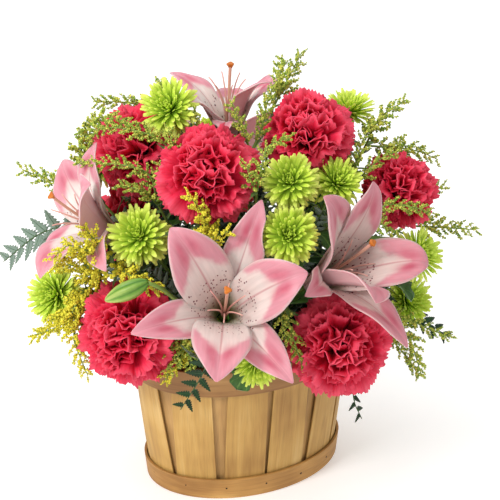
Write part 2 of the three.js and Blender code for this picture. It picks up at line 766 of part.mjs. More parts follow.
// -------------------------------------------------------------- goldenrod
// Short side shoots, thick with flower, stand along each arm in a plume
SPRAYS.forEach((spray) => {
  const parts = [spray.body];
  spray.arms.forEach((arm) => {
    const points = arm.map(vec);
    const lengths = points.slice(1).map((p, i) => p.distanceTo(points[i]));
    const whole = lengths.reduce((a, b) => a + b);
    const count = Math.round(whole / 13);
    for (let k = 0; k < count; k += 1) {
      let run = whole * (0.25 + 0.75 * ((k + 0.5) / count));
      let leg = 0;
      while (run > lengths[leg] && leg < lengths.length - 1) {
        run -= lengths[leg];
        leg += 1;
      }
      const t = points[leg + 1].clone().sub(points[leg]).normalize();
      const from = along(points[leg], t, run);
      const u = along(SIDEWAYS, t, -SIDEWAYS.dot(t)).normalize();
      const v = t.clone().cross(u);
      const turn = k * 2.4 + jitter(0.4);
      const out = u.multiplyScalar(Math.cos(turn)).addScaledVector(v, Math.sin(turn));
      const aim = out.multiplyScalar(0.8).addScaledVector(t, 0.62).normalize();
      const long = (16 - 8.5 * (k / count)) * (0.9 + 0.2 * random());
      const make = (size, grow) => spindle(
        along(from, aim, -0.3),
        along(from, aim, long * size + grow * 3),
        0.55,
        3 - 1.2 * (k / count) + grow * 2,
      );
      const part = tryParts(make, [spray.name], [1, 0.75, 0.5]);
      if (part) parts.push(part);
    }
  });
  finish(spray.name, fuse(parts), '#c3bf3a', 0.85, spray.home);
});

// ------------------------------------------------------------ fern fronds
// Each frond is one thin comb: a narrow midrib strip with pointed leaflets in
// pairs, growing shorter towards the tip
FERNS.forEach((fern) => {
  const spine = fern.spine.map(vec);
  const lengths = spine.slice(1).map((p, i) => p.distanceTo(spine[i]));
  const whole = lengths.reduce((a, b) => a + b);
  const pairs = 8;
  const half = 0.4;
  const look = vec(fern.up);
  const spot = (share) => {
    let run = whole * Math.min(share, 1);
    let leg = 0;
    while (run > lengths[leg] && leg < lengths.length - 1) {
      run -= lengths[leg];
      leg += 1;
    }
    return along(spine[leg], spine[leg + 1].clone().sub(spine[leg]).normalize(), run);
  };
  const points = [];
  const faces = [];
  const pin = (p, face) => {
    points.push(along(p, face, half), along(p, face, -half));
    return points.length - 2;
  };
  const sheet = (a, b, c) => faces.push([a, c, b], [a + 1, b + 1, c + 1]);
  const wallOf = (a, b) => faces.push([a, b + 1, a + 1], [a, b, b + 1]);
  let last = null;
  for (let k = 0; k <= pairs * 2; k += 1) {
    const share = 0.02 + 0.98 * (k / (pairs * 2));
    const at = spot(share);
    const t = spot(share + 0.06).sub(spot(share - 0.06)).normalize();
    const face = along(look, t, -look.dot(t)).normalize();
    const across = t.clone().cross(face);
    const wide = 1.3 - 0.5 * share;
    const now = [1, -1].map((hand) => pin(along(at, across, hand * wide), face));
    if (last) {
      sheet(last.now[0], last.now[1], now[1]);
      sheet(last.now[0], now[1], now[0]);
    }
    const pair = last && k % 2 === 1;
    [0, 1].forEach((hand) => {
      if (!last) return;
      const ends = hand === 0 ? [now[0], last.now[0]] : [last.now[1], now[1]];
      const sign = hand === 0 ? 1 : -1;
      const long = fern.half * (1.06 - share * 0.86);
      const aim = across.clone().multiplyScalar(sign * 0.84).addScaledVector(t, 0.54).normalize();
      const middle = last.at.clone().lerp(at, 0.5);
      const tipAt = (size, grow) => along(along(middle, aim, long * size + grow), face, -long * 0.12);
      const prism = (size, grow) => {
        const tip = tipAt(size, grow * 3);
        const base = [last.at, at].map((p) => along(p, across, sign * wide));
        const ring = hand === 0 ? [base[1], base[0], tip] : [base[0], base[1], tip];
        return loft([
          ring.map((p) => along(p, face, -half - grow)),
          ring.map((p) => along(p, face, half + grow)),
        ]);
      };
      const size = pair ? [1, 0.7, 0.45].find((one) => isClear(prism(one, GAP), [fern.name])) : 0;
      if (!size) {
        wallOf(ends[0], ends[1]);
        return;
      }
      const tip = pin(tipAt(size, 0), face);
      sheet(ends[0], tip, ends[1]);
      wallOf(ends[0], tip);
      wallOf(tip, ends[1]);
    });
    if (!last) wallOf(now[0], now[1]);
    if (k === pairs * 2) wallOf(now[1], now[0]);
    last = { now, at };
  }
  finish(fern.name, fern.body.add(solid(points, faces)), '#2d5429', 0.6, fern.home);
});

// ------------------------------------------------------------------ object
// A group for every home stands at its place and is turned its way, and
// holds the pieces in their own axes
const arrangement = new THREE.Group();
arrangement.name = 'flower_basket_arrangement';
const groups = new Map();
function groupOf(home) {
  if (!groups.has(home)) {
    const group = new THREE.Group();
    group.position.copy(home.at);
    group.quaternion.setFromUnitVectors(V(0, 0, 1), home.axis);
    group.updateMatrix();
    arrangement.add(group);
    groups.set(home, group);
  }
  return groups.get(home);
}
nodes.forEach(({ name, body, colour, roughness, home }) => {
  const mesh = body.getMesh();
  const group = groupOf(home);
  const toHome = group.matrix.clone().invert();
  const local = [];
  for (let i = 0; i < mesh.vertProperties.length; i += 3) {
    local.push(...vec(mesh.vertProperties.slice(i, i + 3)).applyMatrix4(toHome).toArray());
  }
  const geometry = new THREE.BufferGeometry();
  geometry.setAttribute('position', new THREE.BufferAttribute(new Float32Array(local), 3));
  geometry.setIndex(new THREE.BufferAttribute(new Uint32Array(mesh.triVerts), 1));
  geometry.computeVertexNormals();
  const material = new THREE.MeshStandardMaterial({ color: colour, roughness, metalness: 0 });
  const piece = new THREE.Mesh(geometry, material);
  piece.name = name;
  group.add(piece);
});

export default arrangement;
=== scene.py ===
# A bouquet of lilies, carnations and green chrysanthemums, filled out with
# goldenrod and leatherleaf fern, in an oval basket of wood splints.
# Metres, +Z up; +X runs along the long axis of the oval.
import math
import random

import bpy
import numpy as np
from mathutils import Matrix, Vector


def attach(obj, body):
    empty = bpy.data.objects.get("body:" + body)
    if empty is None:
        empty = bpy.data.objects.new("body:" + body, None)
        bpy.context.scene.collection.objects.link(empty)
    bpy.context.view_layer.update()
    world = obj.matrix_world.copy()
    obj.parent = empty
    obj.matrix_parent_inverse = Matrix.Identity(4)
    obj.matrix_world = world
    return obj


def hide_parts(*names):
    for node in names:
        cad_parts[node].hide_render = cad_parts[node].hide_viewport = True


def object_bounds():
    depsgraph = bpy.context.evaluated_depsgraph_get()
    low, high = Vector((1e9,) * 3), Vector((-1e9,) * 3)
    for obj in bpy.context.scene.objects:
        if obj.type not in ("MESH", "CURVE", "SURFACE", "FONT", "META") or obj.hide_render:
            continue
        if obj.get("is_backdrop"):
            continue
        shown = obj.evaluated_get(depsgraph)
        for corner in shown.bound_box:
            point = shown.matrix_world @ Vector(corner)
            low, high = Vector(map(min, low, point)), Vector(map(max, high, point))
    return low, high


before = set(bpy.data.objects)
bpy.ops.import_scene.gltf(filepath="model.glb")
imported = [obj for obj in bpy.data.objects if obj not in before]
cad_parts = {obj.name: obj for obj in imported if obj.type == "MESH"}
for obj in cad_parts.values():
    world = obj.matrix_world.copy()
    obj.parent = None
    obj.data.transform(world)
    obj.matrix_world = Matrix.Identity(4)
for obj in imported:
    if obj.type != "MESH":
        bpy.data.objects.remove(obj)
cad_box = [list(corner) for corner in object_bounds()]
MM = 0.001


# ---------------------------------------------------------------- the table
# A white light table under soft studio lamps: a big one on the left, a weaker
# one in front on the right, and one overhead.
def paint(code):
    """The linear colour of an sRGB hex value."""
    parts = [int(code[i:i + 2], 16) / 255 for i in (1, 3, 5)]
    return tuple(c / 12.92 if c <= 0.04045 else ((c + 0.055) / 1.055) ** 2.4
                 for c in parts) + (1.0,)


def fill(tree, socket, value):
    """Links a node or one of its outputs into an input, or sets a value."""
    if isinstance(value, bpy.types.Node):
        value = next(s for s in value.outputs if s.enabled)
    if isinstance(value, bpy.types.NodeSocket):
        tree.links.new(value, socket)
    elif isinstance(value, str) and value.startswith("#"):
        socket.default_value = paint(value)
    else:
        socket.default_value = value


def add(tree, kind, *values, **named):
    """Adds a node, such as a "Math ADD", and fills its inputs in their order.

    A name in lower case is a setting of the node, any other is an input."""
    kind, *mode = kind.split()
    families = (tree.bl_idname.removesuffix("Tree"), "FunctionNode", "ShaderNode", "Node")
    made = tree.nodes.new(next(f + kind for f in families if hasattr(bpy.types, f + kind)))
    for word in mode:
        settings = ("operation", "mode", "data_type", "attribute_name")
        setattr(made, next(name for name in settings if hasattr(made, name)), word)
    for key, value in named.items():
        if key.islower():
            setattr(made, key, value)
    sockets = [s for s in made.inputs if s.enabled]
    for socket, value in zip(sockets, values):
        fill(tree, socket, value)
    for key, value in named.items():
        if not key.islower():
            fill(tree, next(s for s in sockets if s.name == key.replace("_", " ")), value)
    return made


def finish_of(name, roughness, ior=1.45, **settings):
    """A new material and its node tree, with its surface shader set."""
    material = bpy.data.materials.new(name)
    material.use_nodes = True
    tree = material.node_tree
    for key, value in {"Roughness": roughness, "IOR": ior, **settings}.items():
        fill(tree, tree.nodes["Principled BSDF"].inputs[key.replace("_", " ")], value)
    return material, tree


def coat(tree, colour, relief=None, strength=0.3, depth=0.0003):
    """Gives a surface its colour and, where wanted, its fine relief."""
    shader = tree.nodes["Principled BSDF"]
    fill(tree, shader.inputs["Base Color"], colour)
    if relief is not None:
        bump = add(tree, "Bump", Strength=strength, Distance=depth, Height=relief)
        fill(tree, shader.inputs["Normal"], bump)


def put(name, mesh, slot=None, *nodes):
    """Sets a finished mesh in the frame as a piece, in place of CAD nodes."""
    obj = bpy.data.objects.new(name, mesh)
    bpy.context.scene.collection.objects.link(obj)
    if slot:
        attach(obj, "root")
        if nodes:
            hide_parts(*nodes)
    return obj


def mesh_of(name, points, faces, **marks):
    """A smooth mesh that carries one value or vector per point for each mark."""
    mesh = bpy.data.meshes.new(name)
    mesh.from_pydata([tuple(p) for p in points], [], [tuple(f) for f in faces])
    for mark, values in marks.items():
        values = np.asarray(values, np.float32)
        flat = values.ndim == 1
        layer = mesh.attributes.new(mark, "FLOAT" if flat else "FLOAT_VECTOR", "POINT")
        layer.data.foreach_set("value" if flat else "vector", values.ravel())
    mesh.polygons.foreach_set("use_smooth", [True] * len(mesh.polygons))
    return mesh


table_paint, tree = finish_of(
    "Backlit white acrylic", 0.6, Emission_Color="#ffffff", Emission_Strength=0.25)
grain = add(tree, "TexNoise", add(tree, "TexCoord").outputs["Object"], Scale=900.0)
tint = add(tree, "Mix RGBA", grain, "#f7f6f4", "#fbfaf9")
coat(tree, tint)
HALF, TOP = 4.0, -0.0002      # the table is a hair below the basket
corners = [(-HALF, -HALF, TOP), (HALF, -HALF, TOP), (HALF, HALF, TOP), (-HALF, HALF, TOP)]
table = put("table", mesh_of("table", corners, [(0, 1, 2, 3)]))
table.data.materials.append(table_paint)
table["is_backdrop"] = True

world = bpy.data.worlds.new("Studio")
bpy.context.scene.world = world
world.use_nodes = True
backdrop = world.node_tree.nodes["Background"].inputs
backdrop["Color"].default_value = paint("#ffffff")
backdrop["Strength"].default_value = 0.6

LOOK = Vector((0.0074, 0.0010, 0.1754))     # what lamps and camera aim at
for name, spot, size, power in (
    ("key", (-1.85, -0.4, 1.5), 0.7, 35.0),
    ("fill", (0.9, -1.6, 0.7), 1.2, 3.0),
    ("top", (0.1, 0.3, 1.8), 1.4, 13.0),
):
    lamp = bpy.data.lights.new(name, "AREA")
    lamp.energy = power
    lamp.size = size
    lamp_object = bpy.data.objects.new(name, lamp)
    lamp_object.location = spot
    lamp_object.rotation_euler = (LOOK - Vector(spot)).to_track_quat("-Z", "Y").to_euler()
    bpy.context.scene.collection.objects.link(lamp_object)

# The camera stands 1.5 m off, 30 degrees round to the left and 25 above
DISTANCE, turn, lift = 1.5, math.radians(-30), math.radians(25)
level = math.cos(lift)
back = Vector((math.sin(turn) * level, -math.cos(turn) * level, math.sin(lift)))
right = Vector((math.cos(turn), math.sin(turn), 0))
up = back.cross(right)
lens = bpy.data.cameras.new("camera")
lens.lens, lens.sensor_width, lens.clip_end = 144.0, 36.0, 20.0
camera = bpy.data.objects.new("camera", lens)
aimed = Matrix((right, up, back)).transposed().to_4x4()
camera.matrix_world = Matrix.Translation(LOOK + back * DISTANCE) @ aimed
bpy.context.scene.collection.objects.link(camera)
bpy.context.scene.camera = camera
bpy.context.scene.view_settings.view_transform = "Standard"


# ------------------------------------------------------------ basket splints
# Sawn poplar splints stand side by side in two layers round an oval, nailed
# to a base band below and two rim bands above. The outer splints keep their
# width, so the gaps between them widen upwards and show the inner layer.
def rule_tree(name, **inputs):
    """An empty tree of geometry nodes with its named inputs."""
    tree = bpy.data.node_groups.new(name, "GeometryNodeTree")
    for way in ("INPUT", "OUTPUT"):
        tree.interface.new_socket("Geometry", in_out=way, socket_type="NodeSocketGeometry")
    for label, kind in inputs.items():
        tree.interface.new_socket(
            label.replace("_", " "), in_out="INPUT", socket_type="NodeSocket" + kind)
    return tree, add(tree, "GroupInput").outputs, add(tree, "GroupOutput")


def grown(name, tree, base=None, finishing=(), **values):
    """The plain mesh that a tree makes from its inputs and a base mesh."""
    host = bpy.data.objects.new(name, base or bpy.data.meshes.new(name))
    bpy.context.scene.collection.objects.link(host)
    rule = host.modifiers.new("rule", "NODES")
    rule.node_group = tree
    for item in tree.interface.items_tree:
        label = item.name.replace(" ", "_")
        if item.in_out == "INPUT" and label in values:
            rule[item.identifier] = values[label]
    for kind, settings in finishing:
        extra = host.modifiers.new(kind.lower(), kind)
        for key, value in settings.items():
            setattr(extra, key, value)
    graph = bpy.context.evaluated_depsgraph_get()
    mesh = bpy.data.meshes.new_from_object(
        host.evaluated_get(graph), preserve_all_data_layers=True, depsgraph=graph)
    host.modifiers.clear()
    bpy.data.objects.remove(host)
    mesh.name = name
    return mesh


def stops(ramp, low, high, *between):
    """Colours a ramp from low to high, with (share, colour) pairs between."""
    marks = ramp.color_ramp.elements
    marks[0].color, marks[1].color = paint(low), paint(high)
    for share, code in between:
        marks.new(share).color = paint(code)
    return ramp


def poplar(name, light, middle, dark):
    """Sawn poplar: straight soft grain 3 mm apart, pores along it, no varnish."""
    material, tree = finish_of(name, 0.62, 1.5)
    place = add(tree, "Attribute grain").outputs["Vector"]
    wide = add(tree, "Mapping", place, Scale=(1.0, 0.06, 1.0))
    bands = add(tree, "TexNoise", wide, Scale=170.0, Detail=4.0, Roughness=0.6, Distortion=0.5)
    fine = add(tree, "Mapping", place, Scale=(1.0, 0.022, 1.0))
    pores = add(tree, "TexNoise", fine, Scale=1500.0, Detail=2.0, Roughness=0.5)
    broad = add(tree, "TexNoise", place, Scale=22.0, Detail=2.0)
    split = add(tree, "SeparateXYZ", place)
    whim = add(tree, "TexWhiteNoise", split.outputs["Z"], noise_dimensions="1D")
    level = add(tree, "Math MULTIPLY_ADD", whim, 0.3, 0.0)
    level = add(tree, "MapRange", level, 0.0, 1.0, -0.15, 0.15)
    mixed = add(tree, "Math ADD", bands, broad)
    mixed = add(tree, "Math ADD", mixed, level)
    ramp = add(tree, "ValToRGB", add(tree, "MapRange", mixed, 0.64, 1.36))
    stops(ramp, dark, light, (0.5, middle))
    streaks = add(tree, "MapRange", pores, 0.28, 0.46, 0.82, 1.0)
    toned = add(tree, "Mix RGBA", 1.0, ramp, streaks, blend_type="MULTIPLY")
    height = add(tree, "Math ADD", bands, pores)
    coat(tree, toned, height, 0.35, 0.0004)
    return material


splint_wood = poplar("Sawn poplar", "#d2af70", "#bf9650", "#a1773a")
inner_wood = poplar("Sawn poplar, inner splints", "#d0a666", "#b88e54", "#96703c")
# The rim bands are the same poplar painted darker and browner than the splints: painted shade cast
# by the flowers over the rim.
rim_wood_painted_shade = poplar("Sawn poplar, rim, in painted shade", "#b58952", "#9f733f", "#83592c")
base_wood = poplar("Sawn poplar, base band", "#cc9f5a", "#b58645", "#93662e")

FOOT = (75.6, 55.6)
HEAD = (88.5, 65.5)
SPLINT_TOP = 112.0

splints, given, out = rule_tree(
    "Splints round an oval", Count="Int", Width="Float", Phase="Float", Inset="Float",
    Stand="Float", Wood="Material")
one = add(splints, "MeshGrid", Size_X=1.0, Size_Y=1.0, Vertices_X=7, Vertices_Y=13)
starts = add(splints, "Points", given["Count"])
starts = add(
    splints, "StoreNamedAttribute INT", starts, Name="number", Value=add(splints, "InputIndex"))
many = add(splints, "InstanceOnPoints", starts, Instance=one)
many = add(splints, "RealizeInstances", many)
number = add(splints, "InputNamedAttribute INT", "number")
spot = add(splints, "SeparateXYZ", add(splints, "InputPosition"))
rise = add(splints, "Math ADD", spot.outputs["Y"], 0.5)
run = add(splints, "Math MULTIPLY", spot.outputs["X"], given["Width"])
ends = []
for axes, slack, seed in ((FOOT, 0.09, 178), (HEAD, 0.13, 379)):
    ring = add(splints, "CurvePrimitiveCircle", Resolution=180, Radius=1.0)
    reach = [add(splints, "Math SUBTRACT", axis * MM, given["Inset"]) for axis in axes]
    size = add(splints, "CombineXYZ", reach[0], reach[1], 1.0)
    ring = add(splints, "Transform", ring, Scale=size)
    length = add(splints, "CurveLength", ring)
    step = add(splints, "Math DIVIDE", length, given["Count"])
    place = add(splints, "Math ADD", number, given["Phase"])
    askew = add(splints, "RandomValue FLOAT", -slack, slack, ID=number, Seed=seed)
    place = add(splints, "Math ADD", place, askew)
    place = add(splints, "Math MULTIPLY_ADD", place, step, run)
    place = add(splints, "Math WRAP", place, length, 0.0)
    ends.append(add(splints, "SampleCurve LENGTH", ring, Length=place).outputs["Position"])
wall = add(splints, "Mix VECTOR", rise, ends[0], ends[1])
high = add(splints, "Math MULTIPLY_ADD", rise, (SPLINT_TOP - 1) * MM, MM)
wall = add(splints, "VectorMath ADD", wall, add(splints, "CombineXYZ", Z=high))
# a splint bows out a little between the bands, each by its own amount
bow = add(splints, "Math MULTIPLY", rise, math.pi)
bow = add(splints, "Math SINE", bow)
own = add(splints, "RandomValue FLOAT", 0.25, 1.0, ID=number, Seed=5)
bow = add(splints, "Math MULTIPLY", bow, own)
bow = add(splints, "Math MULTIPLY", bow, given["Stand"])
level = add(splints, "VectorMath MULTIPLY", wall, (1.0, 1.0, 0.0))
level = add(splints, "VectorMath NORMALIZE", level)
push = add(splints, "VectorMath SCALE", level, bow)
note = add(splints, "CombineXYZ", run, high, number)
many = add(splints, "StoreNamedAttribute FLOAT_VECTOR", many, Name="grain", Value=note)
many = add(splints, "SetPosition", many, Position=wall, Offset=push)
many = add(splints, "SetMaterial", many, Material=given["Wood"])
fill(splints, out.inputs[0], many)

board_edges = (
    ("SOLIDIFY", {"thickness": 1.2 * MM, "offset": -1.0, "use_even_offset": False}),
    ("BEVEL", {"width": 0.25 * MM, "segments": 1, "limit_method": "ANGLE",
               "angle_limit": math.radians(60)}),
)
outer = grown(
    "outer_splints", splints, finishing=board_edges, Count=12, Width=31 * MM, Phase=0.15, Inset=0.0,
    Stand=0.8 * MM, Wood=splint_wood)
inner = grown(
    "inner_splints", splints, finishing=board_edges, Count=12, Width=37 * MM, Phase=0.65,
    Inset=2.3 * MM, Stand=-0.6 * MM, Wood=inner_wood)


def joined(name, meshes):
    """One mesh out of several, keeping their materials and marks."""
    parts = []
    for mesh in meshes:
        part = bpy.data.objects.new(name, mesh)
        bpy.context.scene.collection.objects.link(part)
        parts.append(part)
    with bpy.context.temp_override(active_object=parts[0], selected_editable_objects=parts):
        bpy.ops.object.join()
    mesh = parts[0].data
    bpy.data.objects.remove(parts[0])
    mesh.name = name
    return mesh


put("splints", joined("splints", [outer, inner]), "splint_wood", "slat_wall")


# ---------------------------------------------------------------- the bands
# Thin poplar bands bent round the oval, each lapped over its own end and
# nailed: one round the foot, and one outside and one inside the rim.
def band(name, low, high, gap, thick, seam, wood):
    """A lapped band whose inner face stands off the splints by gap, in mm."""
    steps, lap, step_long, rim = 220, 10, 2.3, 0.35
    spots = []
    for k in range(steps + lap + 1):
        turn = seam + 2 * math.pi * k / steps
        lift = thick * 1.05 * min(max((k - steps + 3) / 5, 0), 1)
        spots.append((turn, gap + lift, k))
    points, grains = [], []
    outline = [(0, low), (thick - rim, low), (thick, low + rim), (thick, high - rim),
               (thick - rim, high), (0, high)]
    for turn, off, k in spots:
        for out_by, z in outline:
            a, b = (FOOT[i] + (HEAD[i] - FOOT[i]) * z / SPLINT_TOP + off + out_by for i in (0, 1))
            points.append((math.cos(turn) * a * MM, math.sin(turn) * b * MM, z * MM))
            grains.append((z * MM, k * step_long * MM, seam))
    n = len(outline)
    faces = []
    for k in range(len(spots) - 1):
        for j in range(n):
            a, b = k * n + j, k * n + (j + 1) % n
            faces.append((a, a + n, b + n, b))
    faces.append(tuple(range(n)))
    faces.append(tuple(reversed([(len(spots) - 1) * n + j for j in range(n)])))
    mesh = mesh_of(name, points, faces, grain=grains)
    mesh.set_sharp_from_angle(angle=math.radians(35))
    mesh.materials.append(wood)
    return mesh


put("base_band", band("base_band", 0, 17, 0.9, 1.9, 2.2, base_wood), "base_band_wood", "base_hoop")
put("rim_band_outside", band("rim_band_outside", 92, 113, 0.9, 1.9, 0.9, rim_wood_painted_shade), "rim_band_wood",
    "rim_hoop_outer")
put("rim_band_inside", band("rim_band_inside", 92, 113, -5.6, 1.8, 1.9, rim_wood_painted_shade), "rim_band_wood",
    "rim_hoop_inner")

# Small blued nails hold the outer bands to the splints
nail_steel, tree = finish_of("Blued steel", 0.45, 1.5, Metallic=0.9)
rust = add(tree, "TexNoise", add(tree, "TexCoord").outputs["Object"], Scale=1500.0)
rusty = add(tree, "Mix RGBA", rust, "#4a3424", "#2c2723")
coat(tree, rusty)

nail_points, nail_faces, sides = [(0, 0, 0.35)], [], 8
for ring, (radius, level) in enumerate(((0.6, 0.3), (1.0, 0.05), (1.0, -0.8))):
    for k in range(sides):
        turn, after = k * math.pi / 4, (k + 1) % sides
        nail_points.append((math.cos(turn) * radius, math.sin(turn) * radius, level))
        if ring == 0:
            nail_faces.append((0, 1 + k, 1 + after))
        else:
            start = 1 + (ring - 1) * sides
            a, b = start + k, start + after
            nail_faces.append((a, a + sides, b + sides, b))
nail_faces.append(tuple(range(3 * sides, 2 * sides, -1)))
nail = bpy.data.objects.new("nail", mesh_of("nail", np.array(nail_points) * MM, nail_faces))

nailing, given, out = rule_tree(
    "Nails round a band", Count="Int", Height="Float", Axes="Vector", Shift="Float", Nail="Object",
    Steel="Material")
ring = add(nailing, "CurvePrimitiveCircle", Resolution=240, Radius=1.0)
ring = add(nailing, "Transform", ring, Scale=given["Axes"])
spots = add(nailing, "Points", given["Count"])
share = add(nailing, "Math ADD", add(nailing, "InputIndex"), given["Shift"])
share = add(nailing, "Math DIVIDE", share, given["Count"])
share = add(nailing, "Math FRACT", share)
found = add(nailing, "SampleCurve FACTOR", ring, Factor=share)
wobble = add(nailing, "RandomValue FLOAT", -1.6 * MM, 1.6 * MM, Seed=3)
lift = add(nailing, "Math ADD", given["Height"], wobble)
raised = add(
    nailing, "VectorMath ADD", found.outputs["Position"], add(nailing, "CombineXYZ", Z=lift))
spots = add(nailing, "SetPosition", spots, Position=raised)
outward = add(nailing, "VectorMath CROSS_PRODUCT", found.outputs["Tangent"], (0.0, 0.0, 1.0))
face = add(nailing, "AxesToRotation", outward, found.outputs["Tangent"], primary_axis="Z",
           secondary_axis="X")
heads = add(nailing, "InstanceOnPoints", spots,
            Instance=add(nailing, "ObjectInfo", given["Nail"]).outputs["Geometry"], Rotation=face)
heads = add(nailing, "RealizeInstances", heads)
heads = add(nailing, "SetMaterial", heads, Material=given["Steel"])
fill(nailing, out.inputs[0], heads)

nail_rows = []
for label, z, thick, shift in (("base", 9.0, 2.8, 0.1), ("rim", 102.0, 2.8, 0.5)):
    axes = [(FOOT[i] + (HEAD[i] - FOOT[i]) * z / SPLINT_TOP + thick - 0.15) * MM for i in (0, 1)]
    nail_rows.append(
        grown(label + "_nails", nailing, Count=14, Height=z * MM, Axes=(*axes, 1.0), Shift=shift,
              Nail=nail, Steel=nail_steel))
put("nails", joined("nails", nail_rows), "base_band_wood")


# --------------------------------------------------- board, liner and foam
# A sawn board closes the foot; a thin dark plastic liner keeps the water in,
# and a block of soaked flower foam in it holds every stem.
board_wood, tree = finish_of("Rough-sawn poplar board", 0.75, 1.5)
coords = add(tree, "Mapping", add(tree, "TexCoord").outputs["Object"], Scale=(0.08, 1.0, 1.0))
bands = add(tree, "TexNoise", coords, Scale=260.0, Detail=4.0, Distortion=0.4)
sawn = add(tree, "Mix RGBA", bands, "#8f6a3c", "#c9a56c")
coat(tree, sawn, bands, 0.5, 0.0006)

liner_film, tree = finish_of("Black polythene liner", 0.38, 1.5)
creases = add(tree, "TexNoise", add(tree, "TexCoord").outputs["Object"], Scale=55.0, Detail=3.0)
dusty = add(tree, "Mix RGBA", creases, "#181c17", "#2b3129")
coat(tree, dusty, creases, 0.6, 0.0015)
for name, finish in (("bottom_board", board_wood), ("liner", liner_film)):
    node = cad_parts[name]
    node.data.materials.clear()
    node.data.materials.append(finish)

wet_foam, tree = finish_of("Soaked phenolic foam", 0.9, 1.33)
coords = add(tree, "TexCoord").outputs["Object"]
cells = add(tree, "TexVoronoi", coords, Scale=700.0)
patches = add(tree, "TexNoise", coords, Scale=60.0, Detail=3.0)
damp = add(tree, "Mix RGBA", patches, "#16301a", "#33552f")
coat(tree, damp, cells, 0.8, 0.001)


def tube_faces(rings, sides):
    """The faces between rings of points, the two ends closed."""
    faces = []
    for r in range(rings - 1):
        for k in range(sides):
            a, b = r * sides + k, r * sides + (k + 1) % sides
            faces.append((a, b, b + sides, a + sides))
    last = (rings - 1) * sides
    return faces + [tuple(reversed(range(sides))), tuple(last + k for k in range(sides))]


random.seed(7)
foam_rings = [
    (0.97, 10.2), (1.0, 12.5), (1.0, 60.0), (1.0, 121.0), (0.97, 124.6), (0.92, 125.8),
    (0.6, 126.0), (0.3, 126.0)]
foam_points, sides, half_long, half_wide = [], 72, 66, 46
for share, z in foam_rings:
    for k in range(sides):
        turn = 2 * math.pi * k / sides
        nick = random.uniform(-0.9, 0) if z > 60 else 0
        foam_points.append(
            ((half_long * share + nick) * math.cos(turn) * MM,
             (half_wide * share + nick) * math.sin(turn) * MM,
             (z + (nick if share < 1 else 0)) * MM))
foam = mesh_of("foam_block", foam_points, tube_faces(len(foam_rings), sides))
foam.set_sharp_from_angle(angle=math.radians(40))
foam.materials.append(wet_foam)
put("foam_block", foam, "wet_foam", "foam")


# ------------------------------------------------------------ fern fronds
# Leatherleaf fern, used under flowers for its tough glossy fronds: toothed
# leaflets stand in pairs along a wiry midrib and shorten towards the tip.
HEART = np.array((0.0, 0.0, 85.0))      # every stem aims at this point, in mm
STEM_STOP = 36.0        # and ends this far from it


def unit(v):
    """The vector of length one that points the same way."""
    v = np.asarray(v, float)
    return v / np.linalg.norm(v)


def rooted(points):
    """The points of a stem with its foot in the foam put before them."""
    points = [np.array(p, float) for p in points]
    return [HEART + unit(points[0] - HEART) * STEM_STOP] + points


def smooth(points, step=4.0):
    """A round way through the points, one point every step mm."""
    p = [2 * points[0] - points[1]] + list(points) + [2 * points[-1] - points[-2]]
    way = []
    for a, b, c, d in zip(p, p[1:], p[2:], p[3:]):
        count = max(2, int(np.linalg.norm(c - b) / step))
        for t in np.arange(count) / count:
            bend, twist = 2 * a - 5 * b + 4 * c - d, 3 * b - a - 3 * c + d
            way.append(0.5 * (2 * b + (c - a) * t + bend * t ** 2 + twist * t ** 3))
    return way + [p[-2]]


def ways(name, paths):
    """A mesh of bare edges, one open run for each path in mm."""
    points, edges = [], []
    for path in paths:
        start = len(points)
        points += [tuple(p * MM) for p in path]
        edges += [(start + i, start + i + 1) for i in range(len(path) - 1)]
    mesh = bpy.data.meshes.new(name)
    mesh.from_pydata(points, edges, [])
    return mesh


def blade(name, grid, along, across, thick, material=None, **marks):
    """A closed thin blade over a grid of points in mm, its root row first.

    along holds a value for each row of the grid, across for each column."""
    rows, cols = len(along), len(across)
    grid = np.array(grid, float).reshape(rows, cols, 3)
    normal = np.cross(np.gradient(grid, axis=0), np.gradient(grid, axis=1))
    normal /= np.linalg.norm(normal, axis=2, keepdims=True) + 1e-9
    points = np.concatenate([grid + normal * thick / 2, grid - normal * thick / 2]).reshape(-1, 3)
    faces, n = [], rows * cols
    for i in range(rows - 1):
        for j in range(cols - 1):
            a = i * cols + j
            faces.append((a, a + cols, a + cols + 1, a + 1))
            faces.append((a + n, a + 1 + n, a + cols + 1 + n, a + cols + n))
    loop = [i * cols for i in range(rows)] + [(rows - 1) * cols + j for j in range(1, cols)]
    loop += [i * cols + cols - 1 for i in range(rows - 2, -1, -1)] + list(range(cols - 2, 0, -1))
    for a, b in zip(loop, loop[1:] + loop[:1]):
        faces.append((b, a, a + n, b + n))
    marks = {"along": np.repeat(along, cols), "across": np.tile(across, rows), **marks}
    for mark, values in marks.items():
        marks[mark] = np.concatenate([values, values])
    mesh = mesh_of(name, points * MM, faces, upper=np.repeat((1.0, 0.0), n), **marks)
    if material:
        mesh.materials.append(material)
    return mesh


def kinds_of(name, meshes):
    """A collection of like parts, kept out of the scene, for a tree to pick from."""
    group = bpy.data.collections.new(name)
    for k, mesh in enumerate(meshes):
        group.objects.link(bpy.data.objects.new(f"{name}_{k:02d}", mesh))
    return group


